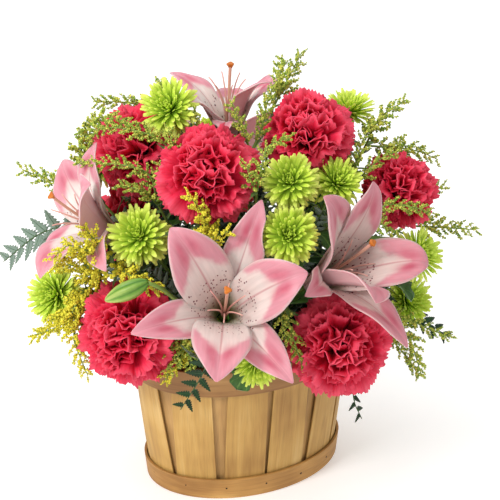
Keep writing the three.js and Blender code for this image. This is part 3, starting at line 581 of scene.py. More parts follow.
# One rule serves every leafy stem: a round stalk along each run of edges, with
# parts growing from it at a steady spacing, each turned on from the last.
growth, given, out = rule_tree(
    "Growth along a stalk", Parts="Collection", Spacing="Float", First="Float", Last="Float",
    Lean="Float", Turn="Float", Up="Vector", Flat="Float", Start_size="Float", End_size="Float",
    Unevenness="Float", Foot_radius="Float", Tip_radius="Float", Seed="Int", Stalk="Material")
run = add(growth, "MeshToCurve", given["Geometry"])
dots = add(growth, "ResampleCurve LENGTH", run, Length=given["Spacing"])
share = add(growth, "SplineParameter")
dots = add(growth, "StoreNamedAttribute FLOAT", dots, Name="share", Value=share)
dots = add(growth, "StoreNamedAttribute FLOAT_VECTOR", dots, Name="heading",
           Value=add(growth, "InputTangent"))
dots = add(growth, "StoreNamedAttribute INT", dots, Name="step", Value=add(growth, "InputIndex"))
share = add(growth, "InputNamedAttribute FLOAT", "share")
heading = add(growth, "InputNamedAttribute FLOAT_VECTOR", "heading")
step = add(growth, "InputNamedAttribute INT", "step")
side = add(growth, "VectorMath CROSS_PRODUCT", heading, given["Up"])
side = add(growth, "VectorMath NORMALIZE", side)
top = add(growth, "VectorMath CROSS_PRODUCT", side, heading)
loose = add(growth, "RandomValue FLOAT", -1.0, 1.0, Seed=given["Seed"])
angle = add(growth, "Math MULTIPLY", step, given["Turn"])
wander = add(growth, "Math MULTIPLY", loose, given["Unevenness"])
angle = add(growth, "Math ADD", angle, wander)
outward = add(growth, "VectorRotate", side, Axis=heading, Angle=angle)
lean = add(growth, "RandomValue FLOAT", -0.6, 0.6,
           Seed=add(growth, "IntegerMath", given["Seed"], 1))
lean = add(growth, "Math MULTIPLY_ADD", lean, given["Unevenness"], given["Lean"])
aside = add(growth, "VectorMath SCALE", outward, add(growth, "Math SINE", lean))
ahead = add(growth, "VectorMath SCALE", heading, add(growth, "Math COSINE", lean))
aim = add(growth, "VectorMath ADD", aside, ahead)
in_plane = add(growth, "VectorMath CROSS_PRODUCT", top, aim)
round_it = add(growth, "VectorMath CROSS_PRODUCT", heading, outward)
wide = add(growth, "Mix VECTOR", given["Flat"], round_it, in_plane)
pose = add(growth, "AxesToRotation", aim, wide, primary_axis="Z", secondary_axis="X")
size = add(growth, "MapRange", share, given["First"], given["Last"], given["Start size"],
           given["End size"])
vary = add(growth, "RandomValue FLOAT", -0.5, 0.5,
           Seed=add(growth, "IntegerMath", given["Seed"], 2))
vary = add(growth, "Math MULTIPLY_ADD", vary, given["Unevenness"], 1.0)
size = add(growth, "Math MULTIPLY", size, vary)
past = add(growth, "Compare GREATER_EQUAL", share, given["First"])
short = add(growth, "Compare LESS_EQUAL", share, given["Last"])
wanted = add(growth, "BooleanMath AND", past, short)
pick = add(growth, "RandomValue INT", 0, 100, Seed=given["Seed"])
parts = add(growth, "CollectionInfo", given["Parts"], Separate_Children=True, Reset_Children=True)
parts = add(growth, "InstanceOnPoints", dots, Selection=wanted, Instance=parts, Pick_Instance=True,
            Instance_Index=pick, Rotation=pose, Scale=size)
shade = add(growth, "RandomValue FLOAT", 0.0, 1.0, Seed=given["Seed"])
parts = add(growth, "StoreNamedAttribute FLOAT", parts, Name="shade", Value=shade,
            domain="INSTANCE")
parts = add(growth, "RealizeInstances", parts)
thick = add(growth, "Mix", add(growth, "SplineParameter"), given["Foot radius"],
            given["Tip radius"])
shaped = add(growth, "SetCurveRadius", run, Radius=1.0)
circle = add(growth, "CurvePrimitiveCircle", Resolution=7, Radius=1.0)
stalk = add(growth, "CurveToMesh", shaped, Profile_Curve=circle, Scale=thick, Fill_Caps=True)
stalk = add(growth, "SetMaterial", stalk, Material=given["Stalk"])
both = add(growth, "JoinGeometry", parts)
fill(growth, both.inputs[0], stalk)
fill(growth, out.inputs[0], both)


def green_leaf(name, dark, light, vein, roughness, ribs, slope):
    """A fresh waxy leaf: pale midrib, side veins, blotches, a paler underside."""
    material, tree = finish_of(
        name, roughness, 1.42, Subsurface_Weight=0.08, Subsurface_Radius=(0.002, 0.003, 0.001),
        Subsurface_Scale=0.6)
    along, across, shade, upper = (
        add(tree, "Attribute", attribute_name=mark).outputs["Fac"]
        for mark in ("along", "across", "shade", "upper"))
    off = add(tree, "Math ABSOLUTE", across)
    mottle = add(tree, "TexNoise", add(tree, "TexCoord").outputs["Object"], Scale=240.0, Detail=2.0)
    tone = add(tree, "Math ADD", mottle, shade)
    tone = add(tree, "MapRange", tone, 0.35, 1.35)
    body = add(tree, "Mix RGBA", tone, dark, light)
    under = add(tree, "Math MULTIPLY_ADD", upper, -0.5, 0.5)
    body = add(tree, "Mix RGBA", under, body, "#a9bcae")
    side_vein = add(tree, "Math MULTIPLY_ADD", off, -slope, along)
    side_vein = add(tree, "Math MULTIPLY", side_vein, ribs)
    side_vein = add(tree, "Math PINGPONG", side_vein, 1.0)
    side_vein = add(tree, "MapRange", side_vein, 0.0, 0.16, 0.45, 0.0)
    midrib = add(tree, "MapRange", off, 0.03, 0.11, 0.9, 0.0)
    veins = add(tree, "Math MAXIMUM", side_vein, midrib)
    veined = add(tree, "Mix RGBA", veins, body, vein)
    relief = add(tree, "Math SUBTRACT", mottle, veins)
    coat(tree, veined, relief, 0.5, 0.0005)
    return material


def green_stem(name, dark, light, roughness=0.5):
    """A fresh green stem with fine lengthwise streaks of tone."""
    material, tree = finish_of(name, roughness, 1.4)
    coords = add(tree, "Mapping", add(tree, "TexCoord").outputs["Object"], Scale=(1.0, 1.0, 0.2))
    streaks = add(tree, "TexNoise", coords, Scale=500.0, Detail=2.0)
    body = add(tree, "Mix RGBA", streaks, dark, light)
    coat(tree, body, streaks)
    return material


fern_leaf = green_leaf("Leatherleaf fern leaflet", "#0a1c0a", "#17361a", "#2a4f26", 0.42, 9.0, 0.5)
fern_leaf.node_tree.nodes["Principled BSDF"].inputs["Specular IOR Level"].default_value = 0.3
fern_rib = green_stem("Leatherleaf fern midrib", "#2c4420", "#4f6b33")


def toothed_leaflet(seed, rows, columns, finish):
    """A pointed leaflet 1 mm long with lobes that lean towards its tip."""
    random.seed(seed)
    grid, along = [], [i / (rows - 1) for i in range(rows)]
    for i, v in enumerate(along):
        lobe = (0.56, 1.0, 0.86)[i % 3] if 0 < i < rows - 1 else 0.5
        half = 0.32 * (1 - v) ** 0.7 * (0.6 + 0.4 * min(v * 6, 1)) * lobe + 0.004
        for c in columns:
            fold, lead = 0.05 * abs(c) * (1 - v), 0.045 * abs(c) * (1 - v)
            grid.append((c * half, fold - 0.10 * v * v, v + lead + random.uniform(-0.004, 0.004)))
    return blade("leaflet", grid, along, columns, 0.028, finish)


leaflets = kinds_of(
    "leaflets", [toothed_leaflet(k, 19, (-1, -0.45, 0, 0.45, 1), fern_leaf) for k in range(3)])
FERNS = [   # points along the midrib, half width, way that the upper face looks
    ([(-92, 88, 172), (-114, 103, 178), (-142, 121, 152)], 20, (0.3, 0.3, -0.9)),
    ([(-65, -76, 145), (-78, -75, 124), (-91, -70, 101)], 14, (-0.5, -0.8, 0.4)),
    ([(58, -52, 121), (62, -66, 106), (46, -86, 82), (50, -92, 64)], 12, (0.3, -0.9, 0.3)),
    ([(100, -34, 125), (124, -60, 114), (142, -73, 99)], 16, (0.2, -0.5, 0.8)),
    ([(-4, 84, 128), (-2, 110, 128), (4, 138, 112)], 20, (0, 0.4, 0.9)),
]
for k, (spine, half, up) in enumerate(FERNS, 1):
    path = smooth(rooted(spine))
    whole = sum(np.linalg.norm(b - a) for a, b in zip(path, path[1:]))
    bare = np.linalg.norm(np.array(spine[0]) - rooted(spine)[0]) / whole
    mesh = grown(
        f"fern_{k}_frond", growth, ways("frond", [path]), Parts=leaflets, Spacing=4.7 * MM,
        First=bare + 0.02, Last=0.995, Lean=1.02, Turn=math.pi, Up=up, Flat=1.0,
        Start_size=half * 1.15, End_size=half * 0.6, Unevenness=0.14, Foot_radius=1.1 * MM,
        Tip_radius=0.35 * MM, Seed=k, Stalk=fern_rib)
    put(f"fern_{k}_frond", mesh, "fern_green", f"fern_{k}")


# -------------------------------------------------------------- goldenrod
# Forked sprays of goldenrod: arching side shoots thick with tiny yellow-green
# flower heads, on thin stems with narrow leaves.
goldenrod_stem = green_stem("Goldenrod stem", "#5d7a33", "#8ba04a")
goldenrod_leaf = green_leaf("Goldenrod leaf", "#2f5222", "#567a33", "#7d9a55", 0.55, 0.0, 0.0)


def floret_finish(name, low, middle, high):
    """Tiny flower heads: matt, each a little greener or yellower than the next."""
    material, tree = finish_of(name, 0.7, 1.4)
    shade = add(tree, "Attribute shade").outputs["Fac"]
    speck = add(tree, "TexNoise", add(tree, "TexCoord").outputs["Object"], Scale=700.0, Detail=1.0)
    tone = add(tree, "Math ADD", speck, shade)
    ramp = add(tree, "ValToRGB", add(tree, "MapRange", tone, 0.4, 1.4))
    coat(tree, stops(ramp, low, high, (0.5, middle)), speck, 0.6, 0.0004)
    return material


def flower_head(finish, seed):
    """A bell 1 mm long on four sides, open rays round its mouth."""
    random.seed(seed)
    points, faces = [(0, 0, 0)], []
    for radius, z in ((0.34, 0.35), (0.6, 0.95), (0.2, 0.85)):
        for k in range(4):
            turn = 2 * math.pi * (k + random.uniform(-0.1, 0.1)) / 4
            far = radius * random.uniform(0.85, 1.15)
            points.append(
                (math.cos(turn) * far, math.sin(turn) * far, z * random.uniform(0.92, 1.05)))
    for k in range(4):
        n = (k + 1) % 4
        faces.append((0, 1 + n, 1 + k))
        for r in range(2):
            a, b = 1 + r * 4 + k, 1 + r * 4 + n
            faces.append((a, b, b + 4, a + 4))
    faces.append((9, 10, 11, 12))
    mesh = mesh_of("flower_head", np.array(points) * MM, faces)
    mesh.materials.append(finish)
    return mesh


SHOOT_LONG = 12.0       # mm
NEXT_PART = 2.4         # radians round the stalk from one leaf or head to the next


def shoots_of(name, finish):
    """Side shoots 12 mm long, with flower heads crowded towards the tip."""
    heads = kinds_of(name + "_heads", [flower_head(finish, k) for k in range(4)])
    meshes = []
    for k in range(4):
        arch = [np.array((0, 1.6 * t * t, SHOOT_LONG * t)) for t in np.linspace(0, 1, 7)]
        meshes.append(
            grown(f"{name}_{k}", growth, ways("arch", [arch]), Parts=heads, Spacing=0.8 * MM,
                  First=0.12, Last=1.0, Lean=1.0, Turn=NEXT_PART, Up=(0.3, 1.0, 0.1),
                  Start_size=2.2, End_size=1.8, Unevenness=0.5, Foot_radius=0.32 * MM,
                  Tip_radius=0.18 * MM, Seed=11 + k, Stalk=goldenrod_stem))
    return kinds_of(name, meshes)


green_heads = floret_finish("Goldenrod in green bud", "#6b8c2e", "#a3bb45", "#dcd862")
yellow_heads = floret_finish("Goldenrod in flower", "#b9b830", "#e4d938", "#f8ec4c")
shoots = {"green": shoots_of("green_shoots", green_heads),
          "yellow": shoots_of("yellow_shoots", yellow_heads)}


def narrow_leaf(name, long, half, droop, finish):
    """A leaf with even, gently curved sides, its base on the origin."""
    grid, along, across = [], np.linspace(0, 1, 9), (-1, -0.5, 0, 0.5, 1)
    for v in along:
        swell = math.sin(math.pi * min(v * 1.15 + 0.12, 1.0)) ** 0.8
        wide = half * (0.22 + 0.78 * swell) * (1 - v ** 6) + 0.15
        for c in across:
            grid.append((c * wide, abs(c) * wide * 0.25 - droop * long * v * v,
                         long * v * (1 - 0.2 * droop * v)))
    return blade(name, grid, along, across, 0.35, finish)


lances = kinds_of(
    "lances", [narrow_leaf("lance", 26, 2.2, d, goldenrod_leaf) for d in (0.1, 0.3, 0.5)])
SPRAYS = [      # the flowers' colour, the trunk up to its fork, and the arms from there
    ("yellow", [(-99, 18, 184)], [(-122, 15, 198), (-146, 27, 191)],
     [(-120, 21, 163), (-139, 23, 141), (-157, 33, 132)]),
    ("green", [(-5, 85, 255)], [(-42, 96, 271), (-65, 109, 272)], [(-4, 112, 268), (2, 132, 268)]),
    ("green", [(-79, 92, 209)], [(-102, 107, 215), (-122, 122, 224)],
     [(-89, 86, 246), (-90, 52, 283), (-77, 19, 287)]),
    ("green", [(52, 44, 266)], [(64, 44, 285), (76, 43, 306)], [(70, 64, 280), (80, 78, 290)]),
    ("green", [(97, -17, 248)], [(98, -33, 275), (111, -46, 291)],
     [(136, -21, 238), (151, -32, 232)]),
    ("green", [(122, -36, 184)], [(146, -54, 184), (165, -67, 183)],
     [(140, -30, 200), (160, -30, 206)]),
    ("green", [(80, -84, 142)], [(82, -106, 126), (87, -114, 102)]),
    ("yellow", [(-22, -21, 145), (-44, -42, 205)],
     [(-59, -42, 140), (-77, -52, 133), (-94, -52, 117)], [(-64, -53, 245), (-74, -54, 258)]),
    ("green", [(98, 70, 205)], [(114, 92, 222), (122, 106, 236)], [(124, 76, 206), (146, 80, 204)]),
    # short sprays that fill between the blooms
    ("yellow", [(-108, 7, 190)], [(-120, 0, 212), (-130, -1, 226)],
     [(-129, -6, 209), (-146, -8, 218), (-157, -7, 210)], [(-121, -4, 190), (-135, -3, 188)],
     [(-107, -24, 193), (-101, -39, 191), (-95, -49, 188)]),
    ("yellow", [(-66, -31, 220)], [(-61, -59, 225), (-52, -72, 233)]),
    ("yellow", [(-100, 29, 160)], [(-112, 35, 171), (-123, 40, 178), (-134, 46, 176)],
     [(-108, 26, 170), (-116, 19, 178)]),
    ("yellow", [(-118, 24, 165)], [(-131, 15, 158), (-139, 15, 142)],
     [(-133, 24, 147), (-146, 32, 135), (-155, 39, 127)],
     [(-134, 13, 139), (-135, 6, 126), (-131, -1, 107)]),
    ("green", [(-67, -42, 150)], [(-81, -55, 140), (-92, -53, 125)],
     [(-76, -60, 141), (-78, -61, 127)], [(-85, -50, 144), (-94, -49, 137)]),
    ("green", [(-10, -77, 170)], [(-12, -90, 155), (-11, -98, 141), (-8, -102, 127)],
     [(-17, -87, 163), (-17, -92, 149)]),
    ("green", [(62, -84, 147)], [(71, -94, 129), (81, -102, 113), (88, -109, 99)],
     [(90, -84, 135), (106, -94, 126), (120, -102, 119)]),
    ("green", [(69, -65, 206)], [(75, -76, 226), (92, -85, 225), (112, -83, 215)],
     [(72, -79, 213), (80, -85, 206)]),
    ("green", [(67, -43, 226)], [(67, -50, 250), (71, -50, 265), (81, -47, 279)],
     [(74, -52, 244), (85, -56, 254), (98, -57, 257)], [(63, -43, 253), (64, -37, 264)]),
    ("green", [(-51, 4, 261)], [(-63, 8, 276), (-78, 17, 283), (-94, 36, 282), (-100, 44, 273)],
     [(-61, -9, 277), (-65, -9, 290)], [(-36, 3, 282), (-37, 5, 293)]),
    ("green", [(-68, 3, 228)], [(-75, 2, 253), (-89, 12, 260), (-103, 29, 259), (-111, 46, 256)],
     [(-83, -1, 244), (-96, 7, 248)], [(-69, -9, 251), (-71, -7, 264)]),
    ("green", [(-6, -24, 266)], [(6, -19, 282), (13, -15, 299), (25, -10, 314)],
     [(-16, -25, 290), (-21, -23, 306)]),
    ("green", [(-19, -54, 249)], [(-20, -63, 272), (-16, -65, 287), (2, -61, 288)],
     [(-28, -60, 264), (-30, -59, 274)]),
]
for k, (colour, trunk, *arms) in enumerate(SPRAYS, 1):
    stem = smooth(rooted(trunk))
    leafy = grown(
        f"goldenrod_{k}_trunk", growth, ways("trunk", [stem]), Parts=lances, Spacing=7 * MM,
        First=0.3, Last=1.0, Lean=0.9, Turn=NEXT_PART, Up=(0.2, 0.3, 1.0), Start_size=1.0,
        End_size=0.8, Unevenness=0.5, Foot_radius=1.1 * MM, Tip_radius=1.0 * MM, Seed=40 + k,
        Stalk=goldenrod_stem)
    forks = []
    for number, arm in enumerate(arms):
        start = trunk[min(number, len(trunk) - 1)]
        forks.append(smooth([np.array(p, float) for p in [start] + arm], 3.0))
    plumes = grown(
        f"goldenrod_{k}_arms", growth, ways("arms", forks), Parts=shoots[colour], Spacing=1.9 * MM,
        First=0.16, Last=1.0, Lean=0.95, Turn=NEXT_PART, Up=(0.2, 0.3, 1.0),
        Start_size=1.1 if k < 10 or colour == "yellow" else 0.75, End_size=0.5, Unevenness=0.35,
        Foot_radius=0.95 * MM, Tip_radius=0.3 * MM, Seed=60 + k, Stalk=goldenrod_stem)
    put(f"goldenrod_{k}_spray", joined(f"goldenrod_{k}_spray", [leafy, plumes]), "goldenrod",
        *([f"goldenrod_{k}"] if k < 10 else []))


# -------------------------------------------------------------- carnations
# Full double carnations: crowded fan-shaped petals with frilled and toothed
# edges stand out of a green cup on a stiff stem with grassy leaves.
GOLDEN_TURN = 2.39996   # radians from one petal to the next

bloom, given, out = rule_tree(
    "Petals over a head", Parts="Collection", Kinds="Int", Count="Int", Radius="Float",
    Widest="Float", Crowding="Float", Middle="Float", Depth="Float", Wildness="Float",
    Seed="Int", Petal="Material")
number = add(bloom, "InputIndex")
share = add(bloom, "Math ADD", number, 0.5)
share = add(bloom, "Math DIVIDE", share, given["Count"])
spread = add(bloom, "Math POWER", share, given["Crowding"])
deep = add(bloom, "Math COSINE", given["Widest"])
deep = add(bloom, "Math SUBTRACT", 1.0, deep)
height = add(bloom, "Math MULTIPLY", spread, deep)
height = add(bloom, "Math SUBTRACT", 1.0, height)
flat = add(bloom, "Math MULTIPLY", height, height)
flat = add(bloom, "Math SUBTRACT", 1.0, flat)
flat = add(bloom, "Math MAXIMUM", flat, 0.0)
flat = add(bloom, "Math SQRT", flat)
turned = add(bloom, "Math MULTIPLY", number, GOLDEN_TURN)
cosine = add(bloom, "Math COSINE", turned)
sine = add(bloom, "Math SINE", turned)
ball = add(bloom, "CombineXYZ", add(bloom, "Math MULTIPLY", flat, cosine),
           add(bloom, "Math MULTIPLY", flat, sine), height)
jolt = add(bloom, "RandomValue FLOAT_VECTOR", (-1.0, -1.0, -1.0), (1.0, 1.0, 1.0),
           Seed=given["Seed"])
jolt = add(bloom, "VectorMath SCALE", jolt, given["Wildness"])
ball = add(bloom, "VectorMath NORMALIZE", add(bloom, "VectorMath ADD", ball, jolt))
swell = add(bloom, "MapRange", height, 1.0, 0.45, given["Middle"], 1.0,
            interpolation_type="SMOOTHSTEP")
far = add(bloom, "Math MULTIPLY", swell, given["Radius"])
tip = add(bloom, "VectorMath SCALE", ball, far)
root = add(bloom, "CombineXYZ", Z=add(bloom, "Math MULTIPLY", given["Depth"], -1.0))
reach = add(bloom, "VectorMath SUBTRACT", tip, root)
aim = add(bloom, "VectorMath NORMALIZE", reach)
long = add(bloom, "VectorMath LENGTH", reach)
vary = add(bloom, "RandomValue FLOAT", 0.84, 1.06, Seed=given["Seed"])
long = add(bloom, "Math MULTIPLY", long, vary)
level = add(bloom, "CombineXYZ", add(bloom, "Math MULTIPLY", sine, -1.0), cosine)
tilt = add(bloom, "VectorMath ADD", level, add(bloom, "VectorMath SCALE", jolt, 2.5))
pose = add(bloom, "AxesToRotation", aim, tilt, primary_axis="Z", secondary_axis="X")
pick = add(bloom, "Math MULTIPLY", share, given["Kinds"])
pick = add(bloom, "Math ADD", pick, add(bloom, "RandomValue FLOAT", -0.9, 0.9, Seed=given["Seed"]))
pick = add(bloom, "Math FLOOR", pick)
pick = add(bloom, "Clamp", pick, 0.0, add(bloom, "Math SUBTRACT", given["Kinds"], 1.0))
roots = add(bloom, "Points", given["Count"], Position=root)
parts = add(bloom, "CollectionInfo", given["Parts"], Separate_Children=True, Reset_Children=True)
petals = add(
    bloom, "InstanceOnPoints", roots, Instance=parts, Pick_Instance=True, Instance_Index=pick,
    Rotation=pose, Scale=long)
shade = add(bloom, "RandomValue FLOAT", 0.0, 1.0, Seed=given["Seed"])
petals = add(
    bloom, "StoreNamedAttribute FLOAT", petals, Name="shade", Value=shade, domain="INSTANCE")
petals = add(
    bloom, "StoreNamedAttribute FLOAT", petals, Name="ring", Value=share, domain="INSTANCE")
petals = add(bloom, "RealizeInstances", petals)
petals = add(bloom, "SetMaterial", petals, Material=given["Petal"])
fill(bloom, out.inputs[0], petals)

carnation_petal, tree = finish_of(
    "Carnation petal", 0.6, 1.4, Subsurface_Weight=0.12, Subsurface_Radius=(0.004, 0.001, 0.001),
    Subsurface_Scale=0.5, Sheen_Weight=0.05, Sheen_Tint="#ff9ab4")
along, across, shade = (
    add(tree, "Attribute", attribute_name=mark).outputs["Fac"]
    for mark in ("along", "across", "shade"))
fan = [add(tree, "Math MULTIPLY", mark, by) for mark, by in ((across, 14.0), (shade, 40.0))]
fan = add(tree, "CombineXYZ", fan[0], along, fan[1])
veins = add(tree, "TexNoise", fan, Scale=1.2, Detail=3.0)
# The colour darkens towards each petal's root: painted shade deep in the bloom. The lighter frilled
# edge and the veins are the petal's own.
tone = add(tree, "Math MULTIPLY_ADD", veins, 0.22, along)
tone = add(tree, "Math MULTIPLY_ADD", shade, 0.26, tone)
ramp = add(tree, "ValToRGB", add(tree, "MapRange", tone, 0.38, 1.38))
stops(ramp, "#84061a", "#ea4d66", (0.45, "#c20a2e"), (0.78, "#d81c42"))
coat(tree, ramp, veins, 0.4, 0.0005)


def frilled_petal(seed, curl):
    """A fan of unit length on a narrow claw; curl turns its frilled edge out."""
    random.seed(seed)
    rows, cols = 8, 23
    phase, waves = random.uniform(0, 6.28), random.uniform(1.2, 2.1)
    second = random.uniform(0, 6.28)
    nicks = [random.uniform(-0.03, 0.03) + (0.018 if j % 2 else -0.018) for j in range(cols)]
    along = [i / (rows - 1) for i in range(rows)]
    across = [2 * j / (cols - 1) - 1 for j in range(cols)]
    grid, y, z = [], 0.0, 0.0
    for i, v in enumerate(along):
        angle = curl * max(0.0, (v - 0.45) / 0.55) ** 1.3
        if i:
            y -= math.sin(angle) / (rows - 1)
            z += math.cos(angle) / (rows - 1)
        wide = 0.05 + 0.31 * max(0.0, (v - 0.15) / 0.85) ** 1.1
        for c, nick in zip(across, nicks):
            frill = 0.08 * v ** 2.2 * math.sin(c * math.pi * waves + phase)
            frill += 0.035 * v ** 4 * math.sin(c * math.pi * waves * 2.1 + second)
            edge = (nick - 0.13 * c * c) * v ** 3
            grid.append((c * wide, y + frill * math.cos(angle) - edge * math.sin(angle),
                         z + frill * math.sin(angle) + edge * math.cos(angle)))
    return blade("petal", np.array(grid) / MM, along, across, 11.0)


PETAL_CURLS = (-0.7, -0.2, 0.35, 0.75, 1.0, 1.2, 1.35, 1.45, 1.5, 1.3)     # middle first
frills = kinds_of("frills", [frilled_petal(k, c) for k, c in enumerate(PETAL_CURLS)])
CARNATIONS = [  # centre and radius in mm, then the way it faces in degrees
    ((-44, -27, 258), 35.5, -123, 34), ((41, -25, 270), 32.5, -111, 52),
    ((106, -50, 222), 28.5, -60, 32), ((-106, -22, 146), 37, -142, 18),
    ((24, -99, 136), 35.5, -108, 22), ((-56, 58, 249), 34, -163, 43), ((84, 40, 232), 33, 35, 45),
    ((-40, 100, 168), 35, 112, 20),
]


def facing(heading, rise):
    """The way that a heading and a rise in degrees point."""
    heading, rise = math.radians(heading), math.radians(rise)
    level = math.cos(rise)
    return np.array((math.cos(heading) * level, math.sin(heading) * level, math.sin(rise)))


def stem_path(foot, axis, lead):
    """From the foam to a flower's foot: straight out, then round to its axis."""
    knee = foot - axis * lead
    reach = np.linalg.norm(knee - HEART)
    aim = (knee - HEART) / reach
    return [HEART + aim * STEM_STOP, HEART + aim * max(reach - 14, 74), knee, foot]


def turn_to(mesh, centre, axis):
    """Moves a mesh made at the origin along +Z to a centre in mm, facing axis."""
    pose = Vector(axis).to_track_quat("Z", "Y").to_matrix().to_4x4()
    mesh.transform(Matrix.Translation(Vector(centre) * MM) @ pose)
    return mesh


def lathe(name, rings, sides, material, wave=None):
    """A closed round form from (radius, height) pairs in mm, bottom first."""
    points, dips = [], []
    for r, (radius, z) in enumerate(rings):
        for k in range(sides):
            dips.append(wave(r, k) if wave else 0.0)
            far = radius * (1 + dips[-1])
            turn = 2 * math.pi * k / sides
            points.append((far * math.cos(turn) * MM, far * math.sin(turn) * MM, z * MM))
    along = np.repeat(np.linspace(0, 1, len(rings)), sides)
    mesh = mesh_of(name, points, tube_faces(len(rings), sides), along=along, dip=dips)
    mesh.materials.append(material)
    return mesh


carnation_green = green_stem("Carnation stem and calyx", "#4c7040", "#7f9c62", 0.55)
grass_leaf = green_leaf("Carnation leaf", "#56744e", "#7d996f", "#8eaa80", 0.6, 0.0, 0.0)
grass = kinds_of("grass", [narrow_leaf("grass", 44, 2.6, d, grass_leaf) for d in (0.25, 0.5, 0.75)])
FULL = 0.98             # how far the petals reach, as a share of the radius
for k, (centre, radius, heading, rise) in enumerate(CARNATIONS, 1):
    centre, axis = np.array(centre, float), facing(heading, rise)
    mesh = grown(
        f"carnation_{k}_bloom", bloom, Parts=frills, Kinds=len(PETAL_CURLS), Count=96,
        Radius=radius * FULL * MM, Widest=math.radians(118), Crowding=1.15, Middle=0.95,
        Depth=radius * 0.42 * MM, Wildness=0.23, Seed=100 + k, Petal=carnation_petal)
    put(f"carnation_{k}_bloom", turn_to(mesh, centre, axis), "carnation_petal",
        f"carnation_{k}_petals")
    path = stem_path(centre - axis * radius * FULL, axis, 6)
    stem = grown(
        f"carnation_{k}_stalk", growth, ways("stem", [smooth(path)]), Parts=grass, Spacing=13 * MM,
        First=0.3, Last=0.92, Lean=0.75, Turn=math.pi * 0.95, Up=(0.3, 0.2, 1.0), Start_size=1.0,
        End_size=0.7, Unevenness=0.4, Foot_radius=1.9 * MM, Tip_radius=1.8 * MM, Seed=120 + k,
        Stalk=carnation_green)
    outline = [(1.9, -2), (3.4, -0.5), (4.9, 3), (5.9, 9), (6.3, radius * 0.4), (7.0, radius * 0.5),
               (4.0, radius * 0.52)]
    cup = lathe("calyx", outline, 15, carnation_green,
                lambda r, j: 0.08 * math.cos(j * 2 * math.pi / 3) if r > 3 else 0)
    turn_to(cup, centre - axis * radius * FULL, axis)
    put(f"carnation_{k}_stalk", joined(f"carnation_{k}_stalk", [stem, cup]), "stem_green",
        f"carnation_{k}_stem")


# ---------------------------------------------------- green chrysanthemums
# Spray chrysanthemums with narrow blunt florets, each rolled like a gutter:
# short, dark and crowded in the middle, long and pale at the rim.
mum_floret, tree = finish_of(
    "Chrysanthemum floret", 0.5, 1.4, Subsurface_Weight=0.1,
    Subsurface_Radius=(0.002, 0.003, 0.001), Subsurface_Scale=0.5)
along, across, shade, ring = (
    add(tree, "Attribute", attribute_name=mark).outputs["Fac"]
    for mark in ("along", "across", "shade", "ring"))
lines = [add(tree, "Math MULTIPLY", mark, by) for mark, by in ((across, 4.0), (shade, 50.0))]
lines = add(tree, "CombineXYZ", lines[0], along, lines[1])
streak = add(tree, "TexNoise", lines, Scale=1.5, Detail=2.0)
# Each floret darkens towards its root: painted shade down in the head. The darker middle of the
# head is its own green eye.
tone = add(tree, "Math MULTIPLY", ring, 0.32)
tone = add(tree, "Math MULTIPLY_ADD", along, 0.55, tone)
tone = add(tree, "Math MULTIPLY_ADD", streak, 0.14, tone)
tone = add(tree, "Math MULTIPLY_ADD", shade, 0.1, tone)
ramp = add(tree, "ValToRGB", tone)
stops(ramp, "#3c7020", "#eef27e", (0.42, "#9cc436"), (0.72, "#c8e04c"))
coat(tree, ramp, streak)


def rolled_floret(seed, bend):
    """A gutter-shaped floret of unit length; bend turns its tip inwards."""
    random.seed(seed)
    grid, twist = [], random.uniform(-0.05, 0.05)
    along, across = (0.0, 0.3, 0.62, 0.86, 1.0), (-1, 0, 1)
    for v, wide in zip(along, (0.032, 0.042, 0.060, 0.067, 0.030)):
        for c in across:
            roll = 0.034 * abs(c) * (1 - 0.5 * v)
            grid.append((c * wide + twist * v * v, roll + bend * (v - v ** 3 * 0.2) * v,
                         v * (1 - 0.25 * abs(bend) * v)))
    return blade("floret", np.array(grid) / MM, along, across, 12.0)


FLORET_BENDS = (0.42, 0.36, 0.28, 0.2, 0.12, 0.05, 0.0, -0.06, -0.12, -0.2)    # middle first
florets = kinds_of("florets", [rolled_floret(k, b) for k, b in enumerate(FLORET_BENDS)])
MUMS = [        # listed as the carnations are
    ((-47, 22, 292), 22.4, -140, 44), ((-91, -11, 214), 23.6, -131, 39),
    ((-131, 50, 151), 22.3, -154, 27), ((5, -60, 254), 21.3, -128, 42),
    ((43, -62, 246), 19.4, -97, 50), ((-9, -82, 224), 22.5, -120, 31),
    ((91, -2, 272), 19.8, -60, 84), ((95, -92, 189), 20.5, -59, 31),
    ((107, -64, 137), 20.4, -79, 23), ((-34, -82, 130), 19.4, -114, -9),
    ((100, 62, 168), 22, 30, 25), ((24, 92, 232), 21, 80, 45),
    ((-64, 106, 217), 20, 120, 35),
]
mum_green = green_stem("Chrysanthemum stem", "#4a6b2a", "#86a34a")
mum_leaf = green_leaf("Chrysanthemum leaf", "#234519", "#44702a", "#6f9448", 0.5, 7.0, 0.35)


def lobed_leaf(seed):
    """A soft leaf with rounded lobes, its stalk on the origin, 34 mm long."""
    random.seed(seed)
    long, droop = 34.0, random.uniform(0.1, 0.35)
    grid, along, across = [], [i / 16 for i in range(17)], (-1, -0.66, -0.33, 0, 0.33, 0.66, 1)
    for v in along:
        lobe = 1 + 0.26 * math.cos((v - 0.55) * 2 * math.pi * 3.1)
        half = 1.0
        if v > 0.16:
            half += 10.5 * math.sin(math.pi * min((v - 0.16) / 0.84, 1) ** 0.85) ** 0.75 * lobe
        half *= 1 if v < 0.99 else 0.2
        for c in across:
            cup = abs(c) * half * 0.22 + 0.8 * math.sin(v * 17 + c * 3) * abs(c)
            grid.append((c * half, cup - droop * long * v * v,
                         v * long * (1 - 0.15 * v) + abs(c) * half * 0.25))
    return blade("lobed", grid, along, across, 0.4, mum_leaf)


